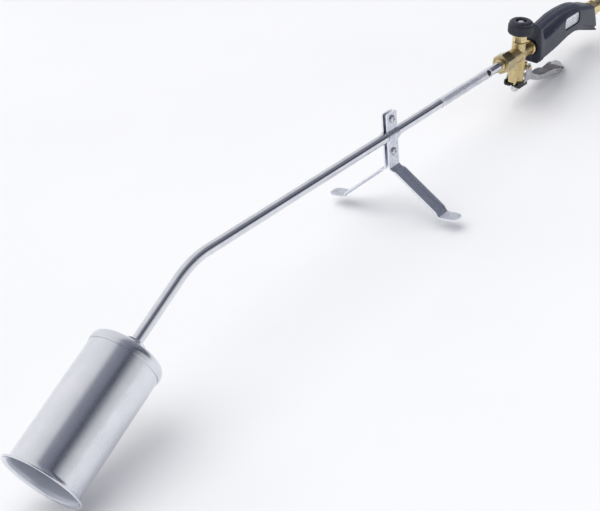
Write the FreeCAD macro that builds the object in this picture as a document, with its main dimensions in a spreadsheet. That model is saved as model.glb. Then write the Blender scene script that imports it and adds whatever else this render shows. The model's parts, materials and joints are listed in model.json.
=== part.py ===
import FreeCAD, Part
import math
import os
import re
import Sketcher

# Hand-held propane torch for roofing felt: a bell burner on a bent lance, a clamp-on stand,
# and a brass valve with a squeeze lever, a regulating knob and a two-shell plastic grip.
#
# Frames, all set by placements:
#   LANCE   origin at the bend of the lance, +X along the lance to the grip, +Z in the bend's plane
#   BURNER  same origin, +X along the burner's axis to its mouth
#   STAND   origin on the lance's axis at the clamp, axes as LANCE
#   VALVE   origin on the lance's axis under the knob, +Z up the knob's axis
# Laid down, the torch rests on the burner's rim and the lever's end, so the lance falls slightly
# towards the grip; the stand's feet, just clear of the floor, stop it rolling over.

SIZES = {
    # whole torch
    "lance_rise": -5.4,
    "valve_clock": 7.0,
    "origin_along": 0.0,
    "origin_side": 0.0,
    "origin_up": 0.0,
    # lance tube
    "tube_radius": 4.75,
    "tube_wall": 1.0,
    "bend_angle": 27.2,
    "bend_radius": 75.0,
    "tube_rear": 495.5,
    "tube_front": 96.0,
    # burner, measured along its axis from the bend
    "hub_top": 80.2,
    "hub_across": 17.0,
    "hub_hex_height": 5.0,
    "hub_neck_radius": 7.4,
    "cap_top": 87.2,
    "cap_seam": 97.7,
    "cap_radius": 30.8,
    "cap_wall": 0.8,
    "cap_shoulder": 8.0,
    "spigot_radius": 6.5,
    "spigot_end": 91.0,
    "locknut_across": 17.0,
    "locknut_height": 2.2,
    "air_hole_radius": 4.2,
    "air_hole_ring": 15.2,
    "air_hole_count": 6,
    "bell_start": 95.4,
    "bell_radius": 30.0,
    "bell_wall": 0.8,
    "flare_start": 200.0,
    "flare_radius": 5.2,
    "flare_angle": 80.0,
    "holder_radius": 6.6,
    "holder_end": 108.0,
    "jet_radius": 3.0,
    "jet_end": 114.0,
    "orifice_radius": 0.5,
    "flame_disc_at": 104.0,
    "flame_disc_radius": 17.0,
    "flame_disc_wall": 0.8,
    "flame_hole_radius": 1.6,
    "flame_hole_ring": 11.6,
    "flame_hole_count": 8,
    # union between lance and valve
    "nipple_front": 483.0,
    "nipple_radius": 6.0,
    "nipple_collar_at": 491.2,
    "nipple_collar_radius": 7.3,
    "nipple_end": 497.9,
    "union_front": 487.0,
    "union_lip": 4.0,
    "union_length": 16.0,
    "union_across": 18.5,
    "union_bore": 7.9,
    "label_front": 367.0,
    "label_rear": 462.0,
    "label_wall": 0.15,
    # stand
    "clamp_along": 281.0,
    "strip_width": 16.0,
    "strip_wall": 1.5,
    "strip_gap": 1.5,
    "saddle_play": 0.1,
    "strip_top": 22.3,
    "leg_bend": 31.0,
    "leg_splay": 52.5,
    "leg_length": 65.0,
    "foot_length": 17.5,
    "upper_screw": 16.0,
    "lower_screw": 15.5,
    "screw_radius": 2.0,
    "screw_head_radius": 3.7,
    "screw_head_height": 2.2,
    "screw_nut_across": 7.0,
    "screw_nut_height": 3.2,
    # valve, measured from the valve's axis and the lance's axis
    "valve_along": 524.0,
    "union_spigot_end": -25.8,
    "valve_shoulder": -20.8,
    "boss_radius": 8.2,
    "neck_radius": 7.25,
    "neck_top": 14.0,
    "chamber_across": 15.5,
    "chamber_bottom": -30.5,
    "rear_boss_radius": 5.8,
    "rear_boss_end": 40.0,
    "gas_bore": 2.6,
    "gland_bore": 4.0,
    "gland_floor": 2.0,
    "needle_bore": 2.0,
    "stem_bore": 2.5,
    "spring_bore": 5.4,
    "spring_ceiling": -8.0,
    "lug_rear": 12.5,
    "lug_half": 6.5,
    "lug_top": -10.5,
    "lug_bottom": -19.0,
    "gland_top": 22.4,
    "gland_neck_end": 9.0,
    "spindle_radius": 3.0,
    "spindle_bottom": 2.0,
    "spindle_top": 33.6,
    "needle_radius": 1.9,
    "needle_tip": 0.5,
    "needle_bottom": -4.0,
    "needle_top": 3.0,
    "needle_socket": 3.5,
    "valve_play": 0.05,
    "knob_bottom": 23.0,
    "knob_top": 37.0,
    "knob_radius": 13.0,
    "knob_crown": 11.6,
    "knob_recess": 5.2,
    "knob_floor": 33.6,
    "knob_screw_radius": 3.1,
    "knob_screw_depth": 6.0,
    # trigger stem
    "stem_radius": 2.0,
    "stem_top": -10.1,
    "stem_bottom": -41.8,
    "seat_radius": 4.6,
    "seat_wall": 2.0,
    "plug_top": -25.0,
    "spring_turns": 5,
    "spring_wire": 0.4,
    "spring_coil": 3.6,
    "stem_nut_top": -34.7,
    "stem_nut_height": 5.4,
    "stem_nut_across": 7.6,
    # squeeze lever
    "pin_along": 8.0,
    "pin_up": -14.5,
    "pin_radius": 1.5,
    "pin_half": 11.6,
    "cheek_inner": 9.4,
    "cheek_outer": 10.8,
    "lever_wall": 1.4,
    "near_taper": 8.0,
    "far_taper": 2.5,
    "taper_start": 90.0,
    "far_lip": 1.2,
    "arm_rear": 112.0,
    "shoe_top": -31.7,
    "shoe_bottom": -34.2,
    "shoe_front": -7.0,
    "shoe_rear": 7.0,
    "shoe_slot": 2.6,
    # grip
    "locknut_front": 21.2,
    "locknut_rear": 23.9,
    "locknut_radius": 8.3,
    "grip_wall": 2.4,
    "grip_corner": 3.0,
    "grip_boss_play": 0.1,
    "grip_tube_bore": 5.2,
    "inlet_radius": 4.8,
    "inlet_bore": 3.4,
    "rear_slope": 22.0,
    "rear_at_axis": 157.4,
    "plate_front": 82.0,
    "plate_rear": 115.0,
    "plate_low": 3.6,
    "plate_high": 15.4,
    "plate_outer": 11.4,
    "plate_wall": 0.6,
    "plate_corner": 4.5,
    "plate_play": 1.0,
    "plate_pocket": 6.0,
    "shield_face": 26.3,
    "shield_slope": 12.7,
    "shell_screw_radius": 1.5,
    "shell_screw_head": 3.0,
    "shell_screw_seat": 10.4,
    "shell_screw_height": 1.6,
    "shell_screw_end": -7.0,
    "front_screw_along": 46.0,
    "front_screw_up": -9.5,
    "middle_screw_along": 90.0,
    "middle_screw_up": 11.0,
    "rear_screw_along": 126.0,
    "rear_screw_up": 10.0,
    # hose connector
    "connector_hex_at": 161.4,
    "connector_hex_end": 170.0,
    "connector_end": 185.5,
    "connector_across": 17.0,
    "connector_radius": 8.3,
    "connector_bore": 4.0,
}

# Grip sections: distance behind the valve's axis, underside, top edge of the flat side,
# crown, half width of the flat side, half width of the spine above it.
GRIP = {
    "shield": (16.0, -18.6, 23.0, 28.0, 13.0, 10.5),
    "shield_back": (30.0, -18.6, 23.0, 27.6, 13.0, 10.5),
    "throat": (33.0, -16.6, 6.0, 20.6, 12.7, 7.6),
    "fore": (56.0, -13.2, 10.0, 23.6, 12.6, 7.6),
    "palm": (81.0, -9.4, 16.2, 25.2, 12.5, 7.8),
    "waist": (108.0, -6.9, 17.2, 23.6, 12.3, 8.0),
    "heel": (132.0, -13.0, 13.6, 18.6, 12.5, 8.4),
    "pommel": (170.0, -26.0, 4.6, 7.0, 13.6, 9.6),
}
GRIP_WORDS = ("at", "under", "side", "crown", "half", "spine")
for section, numbers in GRIP.items():
    for word, number in zip(GRIP_WORDS, numbers):
        SIZES[f"{section}_{word}"] = number

doc = FreeCAD.newDocument("PropaneTorch")
sheet = doc.addObject("Spreadsheet::Sheet", "Sizes")


def fill_sheet():
    """Write each size into the sheet, with its name beside it as the cell's alias."""
    for row, (name, number) in enumerate(SIZES.items(), start=1):
        sheet.set(f"A{row}", name)
        sheet.set(f"B{row}", str(number))
        sheet.setAlias(f"B{row}", name)
    doc.recompute()


def linked(words):
    """An expression that other objects understand: each size's name points at the sheet."""
    return re.sub(
        r"[a-z_][a-z_0-9]*",
        lambda found: "Sizes." + found.group() if found.group() in SIZES else found.group(),
        str(words),
    )


def number(words):
    """The value that an expression has now."""
    return float(sheet.evalExpression(linked(words).replace("Sizes.", "")))


def bind(item, prop, words):
    item.setExpression(prop, linked(words))


# Placements of the frames, as expressions.
LANCE = (
    "placement(vector(origin_along; origin_side; origin_up);"
    " rotation(vector(0; 1; 0); -lance_rise))"
)
BURNER = LANCE + " * placement(vector(0; 0; 0); rotation(vector(0; 1; 0); 180 - bend_angle))"
STAND = LANCE + " * placement(vector(clamp_along; 0; 0); rotation(vector(0; 1; 0); 0))"
VALVE = LANCE + " * placement(vector(valve_along; 0; 0); rotation(vector(1; 0; 0); valve_clock))"

parts = {}


def keep(item, frame):
    """Place a finished sub-part in its frame and put it on the list of parts."""
    bind(item, "Placement", frame)
    parts[item.Label] = item
    return item


# ---- sketch helpers -------------------------------------------------------------------------


def sketch_on(body, role, offset="0"):
    """A sketch on one of the body's own origin planes, moved along the plane's normal."""
    sketch = body.newObject("Sketcher::SketchObject", body.Label + "_sketch")
    plane = [item for item in body.Origin.OriginFeatures if item.Role == role][0]
    sketch.AttachmentSupport = [(plane, "")]
    sketch.MapMode = "FlatFace"
    bind(sketch, "AttachmentOffset.Base.z", offset)
    return sketch


def fix_point(sketch, edge, end, place):
    """Bind a point's two coordinates to expressions."""
    for kind, words in zip(("DistanceX", "DistanceY"), place):
        index = sketch.addConstraint(Sketcher.Constraint(kind, edge, end, number(words)))
        bind(sketch, f"Constraints[{index}]", words)


def arc_edge(start, end, radius, turn):
    """The minor arc between two points; turn is +1 anticlockwise, -1 clockwise."""
    middle = (start + end) / 2
    along = end - start
    side = FreeCAD.Vector(-along.y, along.x, 0).normalize() * turn
    centre = middle + side * math.sqrt(max(radius**2 - (along.Length / 2) ** 2, 0.0))
    first, last = (start, end) if turn > 0 else (end, start)
    low = math.atan2(first.y - centre.y, first.x - centre.x)
    high = math.atan2(last.y - centre.y, last.x - centre.x)
    circle = Part.Circle(centre, FreeCAD.Vector(0, 0, 1), radius)
    return Part.ArcOfCircle(circle, low, high + (math.tau if high < low else 0.0))


def outline(sketch, corners, closed=True):
    """Draw straight and round edges through corners.

    A corner is (x, y), or (x, y, radius, turn) when the edge that leaves it is an arc.
    """
    places = [FreeCAD.Vector(number(c[0]), number(c[1]), 0) for c in corners]
    count = len(corners) if closed else len(corners) - 1
    ends = []
    for k in range(count):
        start, end = places[k], places[(k + 1) % len(corners)]
        if len(corners[k]) == 4:
            radius, turn = corners[k][2:]
            edge = sketch.addGeometry(arc_edge(start, end, number(radius), turn))
            index = sketch.addConstraint(Sketcher.Constraint("Radius", edge, number(radius)))
            bind(sketch, f"Constraints[{index}]", radius)
            ends.append((edge, 1, 2) if turn > 0 else (edge, 2, 1))
        else:
            ends.append((sketch.addGeometry(Part.LineSegment(start, end)), 1, 2))
    for k in range(count if closed else count - 1):
        edge, _, last = ends[k]
        following, first, _ = ends[(k + 1) % count]
        sketch.addConstraint(Sketcher.Constraint("Coincident", edge, last, following, first))
    for k in range(count):
        fix_point(sketch, ends[k][0], ends[k][1], corners[k][:2])
    if not closed:
        fix_point(sketch, ends[-1][0], ends[-1][2], corners[-1][:2])
    return sketch


def circle(sketch, x, y, radius):
    """A circle with its centre and radius bound to expressions."""
    centre = FreeCAD.Vector(number(x), number(y), 0)
    edge = sketch.addGeometry(Part.Circle(centre, FreeCAD.Vector(0, 0, 1), number(radius)))
    fix_point(sketch, edge, 3, (x, y))
    index = sketch.addConstraint(Sketcher.Constraint("Radius", edge, number(radius)))
    bind(sketch, f"Constraints[{index}]", radius)
    return sketch


def hexagon(across):
    """Corners of a hexagon of this width across its flats, flats facing the first axis."""
    reach = f"({across}) / 2 / cos(30)"
    return [(f"{reach} * cos({60 * k + 30})", f"{reach} * sin({60 * k + 30})") for k in range(6)]


def rectangle(left, low, right, high):
    return [(left, low), (right, low), (right, high), (left, high)]


def rounded(left, low, right, high, radius):
    """Corners of a rectangle with round corners, anticlockwise."""
    return [
        (f"{left} + {radius}", low),
        (f"{right} - {radius}", low, radius, 1),
        (right, f"{low} + {radius}"),
        (right, f"{high} - {radius}", radius, 1),
        (f"{right} - {radius}", high),
        (f"{left} + {radius}", high, radius, 1),
        (left, f"{high} - {radius}"),
        (left, f"{low} + {radius}", radius, 1),
    ]


# ---- feature helpers ------------------------------------------------------------------------


def new_body(label):
    body = doc.addObject("PartDesign::Body", label)
    body.Label = label
    return body


def turn(body, corners, axis="H_Axis", cut=False):
    """Turn an outline in the XZ plane about X (H_Axis) or Z (V_Axis); cut takes it away."""
    sketch = outline(sketch_on(body, "XZ_Plane"), corners)
    kind = "PartDesign::Groove" if cut else "PartDesign::Revolution"
    feature = body.newObject(kind, body.Label + "_turned")
    feature.Profile = sketch
    feature.ReferenceAxis = (sketch, [axis])
    feature.Angle = 360
    body.Tip = feature
    return feature


def extrude(body, sketch, length, cut=False, symmetric=False, reverse=False):
    """Pad a sketch, or pocket it when cut is set."""
    kind = "PartDesign::Pocket" if cut else "PartDesign::Pad"
    feature = body.newObject(kind, body.Label + "_cut" if cut else body.Label + "_pad")
    feature.Profile = sketch
    feature.Type = "Length"
    feature.SideType = "Symmetric" if symmetric else "One side"
    feature.Reversed = reverse
    bind(feature, "Length", length)
    body.Tip = feature
    return feature


def loft(body, sketches, cut=False):
    kind = "PartDesign::SubtractiveLoft" if cut else "PartDesign::AdditiveLoft"
    feature = body.newObject(kind, body.Label + "_loft")
    feature.Profile = sketches[0]
    feature.Sections = sketches[1:]
    feature.Ruled = True
    body.Tip = feature
    return feature


def ring_of_holes(body, radius, ring, count, reach):
    """Drill one hole along X and repeat it around X."""
    sketch = circle(sketch_on(body, "YZ_Plane"), "0", ring, radius)
    hole = extrude(body, sketch, reach, cut=True, symmetric=True)
    pattern = body.newObject("PartDesign::PolarPattern", body.Label + "_pattern")
    pattern.Originals = [hole]
    pattern.Axis = (sketch, ["N_Axis"])
    pattern.Angle = 360
    bind(pattern, "Occurrences", count)
    body.Tip = pattern
    return pattern


def turned(label, frame, corners, axis="H_Axis"):
    """A sub-part that is one turned solid."""
    body = new_body(label)
    turn(body, corners, axis)
    return keep(body, frame)


def hex_nut(label, frame, plane, across, start, height, bore):
    """A hexagonal nut along the plane's normal, with a plain bore."""
    body = new_body(label)
    extrude(body, outline(sketch_on(body, plane, start), hexagon(across)), height)
    hole = circle(sketch_on(body, plane, start), "0", "0", bore)
    extrude(body, hole, height, cut=True, reverse=True)
    return keep(body, frame)


def ring(low, high, inner, outer):
    """Outline of a plain ring about the first axis."""
    return rectangle(low, inner, high, outer)


def upright(low, high, inner, outer):
    """Outline of a plain ring about the second axis."""
    return rectangle(inner, low, outer, high)


# ---- lance ----------------------------------------------------------------------------------


def lance_tube():
    """One steel tube with a single bend, swept along its centre line."""
    body = new_body("lance_tube")
    tangent = "bend_radius * tan(bend_angle / 2)"
    route = outline(
        sketch_on(body, "XZ_Plane"),
        [
            ("tube_rear", "0"),
            (tangent, "0", "bend_radius", 1),
            (f"-{tangent} * cos(bend_angle)", f"-{tangent} * sin(bend_angle)"),
            ("-tube_front * cos(bend_angle)", "-tube_front * sin(bend_angle)"),
        ],
        closed=False,
    )
    for name, kind, radius in (
        ("outside", "PartDesign::AdditivePipe", "tube_radius"),
        ("inside", "PartDesign::SubtractivePipe", "tube_radius - tube_wall"),
    ):
        profile = circle(sketch_on(body, "YZ_Plane", "tube_rear"), "0", "0", radius)
        pipe = body.newObject(kind, f"lance_{name}")
        pipe.Profile = profile
        pipe.Spine = (route, [f"Edge{k}" for k in (1, 2, 3)])
        body.Tip = pipe
    return keep(body, LANCE)


def lance_label():
    wrap = ring("label_front", "label_rear", "tube_radius", "tube_radius + label_wall")
    return turned("lance_label", LANCE, wrap)


def lance_nipple():
    """Brass end brazed on the lance; its collar is pulled up by the union nut."""
    corners = [
        ("nipple_front", "tube_radius"),
        ("nipple_end", "tube_radius"),
        ("nipple_end", "nipple_collar_radius"),
        ("nipple_collar_at", "nipple_collar_radius"),
        ("nipple_collar_at", "nipple_radius"),
        ("nipple_front + 0.8", "nipple_radius"),
        ("nipple_front", "nipple_radius - 0.8"),
    ]
    return turned("lance_nipple", LANCE, corners)


def union_nut():
    """Hexagonal nut with an inner lip that bears on the nipple's collar."""
    body = new_body("union_nut")
    front = "union_front - valve_along"
    profile = outline(sketch_on(body, "YZ_Plane", front), hexagon("union_across"))
    extrude(body, profile, "union_length")
    corner = "union_across / 2 / cos(30)"
    flat = "union_across / 2"
    for end, inward in ((front, 1), (f"{front} + union_length", -1)):
        chamfer = [
            (end, f"{flat} - 0.2"),
            (f"{end} + {inward} * 1.4", f"{corner} + 0.4"),
            (f"{end} - {inward} * 1.0", f"{corner} + 0.4"),
            (f"{end} - {inward} * 1.0", f"{flat} - 0.2"),
        ]
        turn(body, chamfer, cut=True)
    lip = f"{front} + union_lip"
    bore = [
        (f"{front} - 1", "0"),
        (f"{front} + union_length + 1", "0"),
        (f"{front} + union_length + 1", "union_bore"),
        (lip, "union_bore"),
        (lip, "nipple_radius + 0.1"),
        (f"{front} - 1", "nipple_radius + 0.1"),
    ]
    turn(body, bore, cut=True)
    return keep(body, VALVE)


# ---- burner ---------------------------------------------------------------------------------


def burner_hub():
    """Steel hub on the lance's end: hexagon outside the cap, spigot through it."""
    body = new_body("burner_hub")
    profile = outline(sketch_on(body, "YZ_Plane", "hub_top"), hexagon("hub_across"))
    extrude(body, profile, "hub_hex_height")
    crown = [
        ("hub_top", "hub_across / 2 - 0.4"),
        ("hub_top + 1.2", "hub_across / 2 / cos(30) + 0.4"),
        ("hub_top - 1", "hub_across / 2 / cos(30) + 0.4"),
        ("hub_top - 1", "hub_across / 2 - 0.4"),
    ]
    turn(body, crown, cut=True)
    turn(body, rectangle("hub_top + 1", "0", "cap_top", "hub_neck_radius"))
    turn(body, rectangle("cap_top - 1", "0", "spigot_end", "spigot_radius"))
    turn(body, rectangle("hub_top - 1", "0", "spigot_end + 1", "tube_radius"), cut=True)
    return keep(body, BURNER)


def burner_cap():
    """Pressed cap with a round shoulder and a ring of air holes."""
    body = new_body("burner_cap")
    inner = "cap_radius - cap_wall"
    corners = [
        ("cap_top", "spigot_radius"),
        ("cap_top + cap_wall", "spigot_radius"),
        ("cap_top + cap_wall", "cap_radius - cap_shoulder", "cap_shoulder - cap_wall", -1),
        ("cap_top + cap_shoulder", inner),
        ("cap_seam", inner),
        ("cap_seam", "cap_radius"),
        ("cap_top + cap_shoulder", "cap_radius", "cap_shoulder", 1),
        ("cap_top", "cap_radius - cap_shoulder"),
    ]
    turn(body, corners)
    ring_of_holes(body, "air_hole_radius", "air_hole_ring", "air_hole_count", "4 * cap_top")
    return keep(body, BURNER)


def burner_bell():
    """Rolled tube whose mouth is flared into a rim."""
    centre = "bell_radius + flare_radius"
    outer_x = "flare_start + flare_radius * sin(flare_angle)"
    outer_r = f"{centre} - flare_radius * cos(flare_angle)"
    inner_x = "flare_start + (flare_radius + bell_wall) * sin(flare_angle)"
    inner_r = f"{centre} - (flare_radius + bell_wall) * cos(flare_angle)"
    corners = [
        ("bell_start", "bell_radius - bell_wall"),
        ("flare_start", "bell_radius - bell_wall", "flare_radius + bell_wall", 1),
        (inner_x, inner_r),
        (outer_x, outer_r, "flare_radius", -1),
        ("flare_start", "bell_radius"),
        ("bell_start", "bell_radius"),
    ]
    return turned("burner_bell", BURNER, corners)


def burner_inside():
    """Locknut, jet holder, jet and flame disc, all on the lance's end inside the bell."""
    inside = "cap_top + cap_wall"
    hex_nut(
        "hub_locknut",
        BURNER,
        "YZ_Plane",
        "locknut_across",
        inside,
        "locknut_height",
        "spigot_radius",
    )
    holder = [
        ("spigot_end", "tube_radius"),
        ("tube_front", "tube_radius"),
        ("tube_front", "jet_radius"),
        ("holder_end", "jet_radius"),
        ("holder_end", "holder_radius - 1"),
        ("holder_end - 1", "holder_radius"),
        ("spigot_end", "holder_radius"),
    ]
    turned("jet_holder", BURNER, holder)
    jet = [
        ("tube_front + 2", "orifice_radius"),
        ("jet_end", "orifice_radius"),
        ("jet_end", "jet_radius - 1"),
        ("jet_end - 2", "jet_radius"),
        ("tube_front + 2", "jet_radius"),
    ]
    turned("jet", BURNER, jet)
    disc = new_body("flame_disc")
    plate = ring(
        "flame_disc_at", "flame_disc_at + flame_disc_wall", "holder_radius", "flame_disc_radius"
    )
    turn(disc, plate)
    ring_of_holes(disc, "flame_hole_radius", "flame_hole_ring", "flame_hole_count", "4 * cap_seam")
    keep(disc, BURNER)


# ---- stand ----------------------------------------------------------------------------------


def strip_outline(side):
    """Side view of one bent strip, from its top down to its foot and back up its outside."""
    half = "strip_gap"
    outer = "strip_gap + strip_wall"
    grip = "(tube_radius + saddle_play)"
    saddle = f"sqrt({grip} ^ 2 - strip_gap ^ 2)"
    back = f"sqrt(({grip} + strip_wall) ^ 2 - (strip_gap + strip_wall) ^ 2)"
    knee_y = "strip_gap + leg_length * sin(leg_splay)"
    knee_z = "-leg_bend - leg_length * cos(leg_splay)"
    corners = [
        (half, "strip_top"),
        (half, saddle, grip, -1),
        (half, f"-{saddle}"),
        (half, "-leg_bend"),
        (knee_y, knee_z),
        (f"{knee_y} + foot_length", knee_z),
        (f"{knee_y} + foot_length", f"{knee_z} + strip_wall"),
        (f"{knee_y} + strip_wall * cos(leg_splay) / (1 + sin(leg_splay))", f"{knee_z} + strip_wall"),
        (outer, "-leg_bend + strip_wall * sin(leg_splay) / (1 + cos(leg_splay))"),
        (outer, f"-{back}", f"{grip} + strip_wall", 1),
        (outer, back),
        (outer, "strip_top"),
    ]
    flipped = []
    for y, z, *arc in corners:
        bend = (arc[0], arc[1] * side) if arc else ()
        flipped.append((f"{side} * ({y})", z, *bend))
    return flipped


def stand_leg(label, side):
    """A steel strip: clamp plate, half-round saddle, splayed leg and outturned foot."""
    body = new_body(label)
    profile = outline(sketch_on(body, "YZ_Plane"), strip_outline(side))
    extrude(body, profile, "strip_width", symmetric=True)
    tip = "strip_gap + leg_length * sin(leg_splay) + foot_length"
    centre = f"({tip} - strip_width / 2)"
    half = "strip_width / 2"
    for end in (-1, 1):
        corner = [
            ("0", f"{side} * ({tip})", half, end * side),
            (f"{-end} * {half}", f"{side} * {centre}"),
            (f"{-end} * ({half} + 2)", f"{side} * {centre}"),
            (f"{-end} * ({half} + 2)", f"{side} * ({tip} + 2)"),
            ("0", f"{side} * ({tip} + 2)"),
        ]
        sketch = outline(sketch_on(body, "XY_Plane"), corner)
        extrude(body, sketch, "4 * leg_length", cut=True, symmetric=True)
    for height in ("upper_screw", "-lower_screw"):
        hole = circle(sketch_on(body, "XZ_Plane"), "0", height, "screw_radius")
        extrude(body, hole, "4 * strip_gap + 8 * strip_wall", cut=True, symmetric=True)
    return keep(body, STAND)


def cylinder_y(name, radius, start, length, x, z):
    """A Part cylinder along +Y."""
    item = doc.addObject("Part::Cylinder", name)
    bind(item, "Radius", radius)
    bind(item, "Height", length)
    bind(item, "Placement", f"placement(vector({x}; {start}; {z}); rotation(vector(1; 0; 0); -90))")
    return item


def prism_y(name, across, start, length, x, z):
    """A Part hexagonal prism along +Y."""
    item = doc.addObject("Part::Prism", name)
    item.Polygon = 6
    bind(item, "Circumradius", f"({across}) / 2 / cos(30)")
    bind(item, "Height", length)
    bind(item, "Placement", f"placement(vector({x}; {start}; {z}); rotation(vector(1; 0; 0); -90))")
    return item


def joined(kind, name, items):
    """A fuse or a cut of two objects."""
    result = doc.addObject(kind, name)
    result.Base, result.Tool = items
    return result


def grouped(label, frame, items):
    group = doc.addObject("Part::Compound", label)
    group.Label = label
    group.Links = items
    return keep(group, frame)


def stand_fasteners():
    """Two pan-head screws through both plates, heads on the near side, with hexagonal nuts."""
    face = "(strip_gap + strip_wall)"
    screws, nuts = [], []
    for name, height in (("upper", "upper_screw"), ("lower", "-lower_screw")):
        reach = f"2 * {face} + screw_nut_height + 1.5"
        shank = cylinder_y(f"{name}_shank", "screw_radius", f"-{face}", reach, "0", height)
        head = cylinder_y(
            f"{name}_head",
            "screw_head_radius",
            f"-{face} - screw_head_height",
            "screw_head_height",
            "0",
            height,
        )
        screws.append(joined("Part::Fuse", f"{name}_screw", (shank, head)))
        block = prism_y(
            f"{name}_block", "screw_nut_across", face, "screw_nut_height", "0", height
        )
        core = cylinder_y(f"{name}_core", "screw_radius", face, "screw_nut_height", "0", height)
        nuts.append(joined("Part::Cut", f"{name}_nut", (block, core)))
    grouped("clamp_screws", STAND, screws)
    grouped("clamp_nuts", STAND, nuts)


# ---- valve ----------------------------------------------------------------------------------


def valve_body():
    """Brass forging: union spigot, upright neck, hexagonal trigger chamber, rear boss, pin lug."""
    body = new_body("valve_body")
    run = [
        ("union_spigot_end", "0"),
        ("rear_boss_end", "0"),
        ("rear_boss_end", "rear_boss_radius"),
        ("4", "rear_boss_radius"),
        ("0", "boss_radius"),
        ("valve_shoulder", "boss_radius"),
        ("valve_shoulder", "union_bore"),
        ("union_spigot_end", "union_bore"),
    ]
    turn(body, run)
    turn(body, rectangle("0", "-4", "neck_radius", "neck_top"), axis="V_Axis")
    chamber = outline(sketch_on(body, "XY_Plane", "chamber_bottom"), hexagon("chamber_across"))
    extrude(body, chamber, "-chamber_bottom - 2")
    lug = outline(
        sketch_on(body, "XZ_Plane"), rectangle("2", "lug_bottom", "lug_rear", "lug_top")
    )
    extrude(body, lug, "2 * lug_half", symmetric=True)
    turn(body, rectangle("0", "gland_floor", "gland_bore", "neck_top + 1"), "V_Axis", cut=True)
    turn(body, rectangle("0", "needle_bottom - 1", "needle_bore", "neck_top"), "V_Axis", cut=True)
    turn(body, rectangle("0", "spring_ceiling - 1", "stem_bore", "-5"), "V_Axis", cut=True)
    chamber_bore = rectangle("0", "chamber_bottom - 1", "spring_bore", "spring_ceiling")
    turn(body, chamber_bore, "V_Axis", cut=True)
    turn(body, rectangle("union_spigot_end - 1", "0", "-1", "gas_bore"), cut=True)
    turn(body, rectangle("6", "0", "rear_boss_end + 1", "gas_bore"), cut=True)
    pin = circle(sketch_on(body, "XZ_Plane"), "pin_along", "pin_up", "pin_radius")
    extrude(body, pin, "6 * lug_half", cut=True, symmetric=True)
    return keep(body, VALVE)


def regulator_spindle():
    """Gland nut, spindle, its ring seal and the needle that screws up into the spindle."""
    gland = [
        ("spindle_radius + valve_play", "gland_neck_end"),
        ("gland_bore - valve_play", "gland_neck_end"),
        ("gland_bore - valve_play", "neck_top"),
        ("neck_radius", "neck_top"),
        ("neck_radius", "gland_top - 0.8"),
        ("neck_radius - 0.8", "gland_top"),
        ("spindle_radius + valve_play", "gland_top"),
    ]
    turned("gland_nut", VALVE, gland, "V_Axis")
    socket = "(needle_radius + valve_play)"
    spindle = [
        ("0", "spindle_bottom + needle_socket"),
        (socket, "spindle_bottom + needle_socket"),
        (socket, "spindle_bottom"),
        ("spindle_radius", "spindle_bottom"),
        ("spindle_radius", "spindle_top"),
        ("pin_radius", "spindle_top"),
        ("pin_radius", "spindle_top - knob_screw_depth"),
        ("0", "spindle_top - knob_screw_depth"),
    ]
    turned("spindle", VALVE, spindle, "V_Axis")
    groove = "gland_neck_end - 4"
    seal = upright(groove, f"{groove} + 1.4", "spindle_radius", "gland_bore - valve_play")
    turned("spindle_seal", VALVE, seal, "V_Axis")
    needle = [
        ("0", "needle_bottom"),
        ("needle_tip", "needle_bottom"),
        ("needle_radius", "needle_bottom + 3"),
        ("needle_radius", "needle_top"),
        ("0", "needle_top"),
    ]
    turned("needle", VALVE, needle, "V_Axis")


def knob():
    """Regulating knob: stepped side, domed crown, recess for its screw."""
    corners = [
        ("spindle_radius", "knob_bottom + 3"),
        ("neck_radius + 1", "knob_bottom + 3"),
        ("neck_radius + 1", "knob_bottom"),
        ("knob_radius - 1.2", "knob_bottom", "1.2", 1),
        ("knob_radius", "knob_bottom + 1.2"),
        ("knob_radius", "knob_top - 4"),
        ("knob_crown + 0.5", "knob_top - 3.6"),
        ("knob_crown + 0.5", "knob_top - 2", "2", 1),
        ("knob_crown - 1.5", "knob_top"),
        ("knob_recess", "knob_top"),
        ("knob_recess", "knob_floor"),
        ("spindle_radius", "knob_floor"),
    ]
    turned("knob", VALVE, corners, "V_Axis")
    screw = [
        ("0", "spindle_top - knob_screw_depth + 0.5"),
        ("pin_radius", "spindle_top - knob_screw_depth + 0.5"),
        ("pin_radius", "knob_floor"),
        ("knob_screw_radius", "knob_floor"),
        ("knob_screw_radius", "knob_floor + 1.2", "1.2", 1),
        ("knob_screw_radius - 1.2", "knob_floor + 2.4"),
        ("0", "knob_floor + 2.4"),
    ]
    turned("knob_screw", VALVE, screw, "V_Axis")


def return_spring():
    """Coil spring between the bottom plug and the stem's collar."""
    path = doc.addObject("Part::Helix", "spring_path")
    bind(path, "Radius", "spring_coil")
    height = "(stem_top - seat_wall - plug_top - 4 * spring_wire)"
    bind(path, "Height", height)
    bind(path, "Pitch", f"{height} / spring_turns")
    bind(path, "Placement.Base.z", "plug_top + 2 * spring_wire")
    wire = doc.addObject("Part::Circle", "spring_section")
    bind(wire, "Radius", "spring_wire")
    bind(
        wire,
        "Placement",
        "placement(vector(spring_coil; 0; plug_top + 2 * spring_wire);"
        " rotation(vector(1; 0; 0); 90))",
    )
    spring = doc.addObject("Part::Sweep", "return_spring")
    spring.Label = "return_spring"
    spring.Sections = [wire]
    spring.Spine = (path, ["Edge1"])
    spring.Solid = True
    spring.Frenet = True
    return keep(spring, VALVE)


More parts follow.
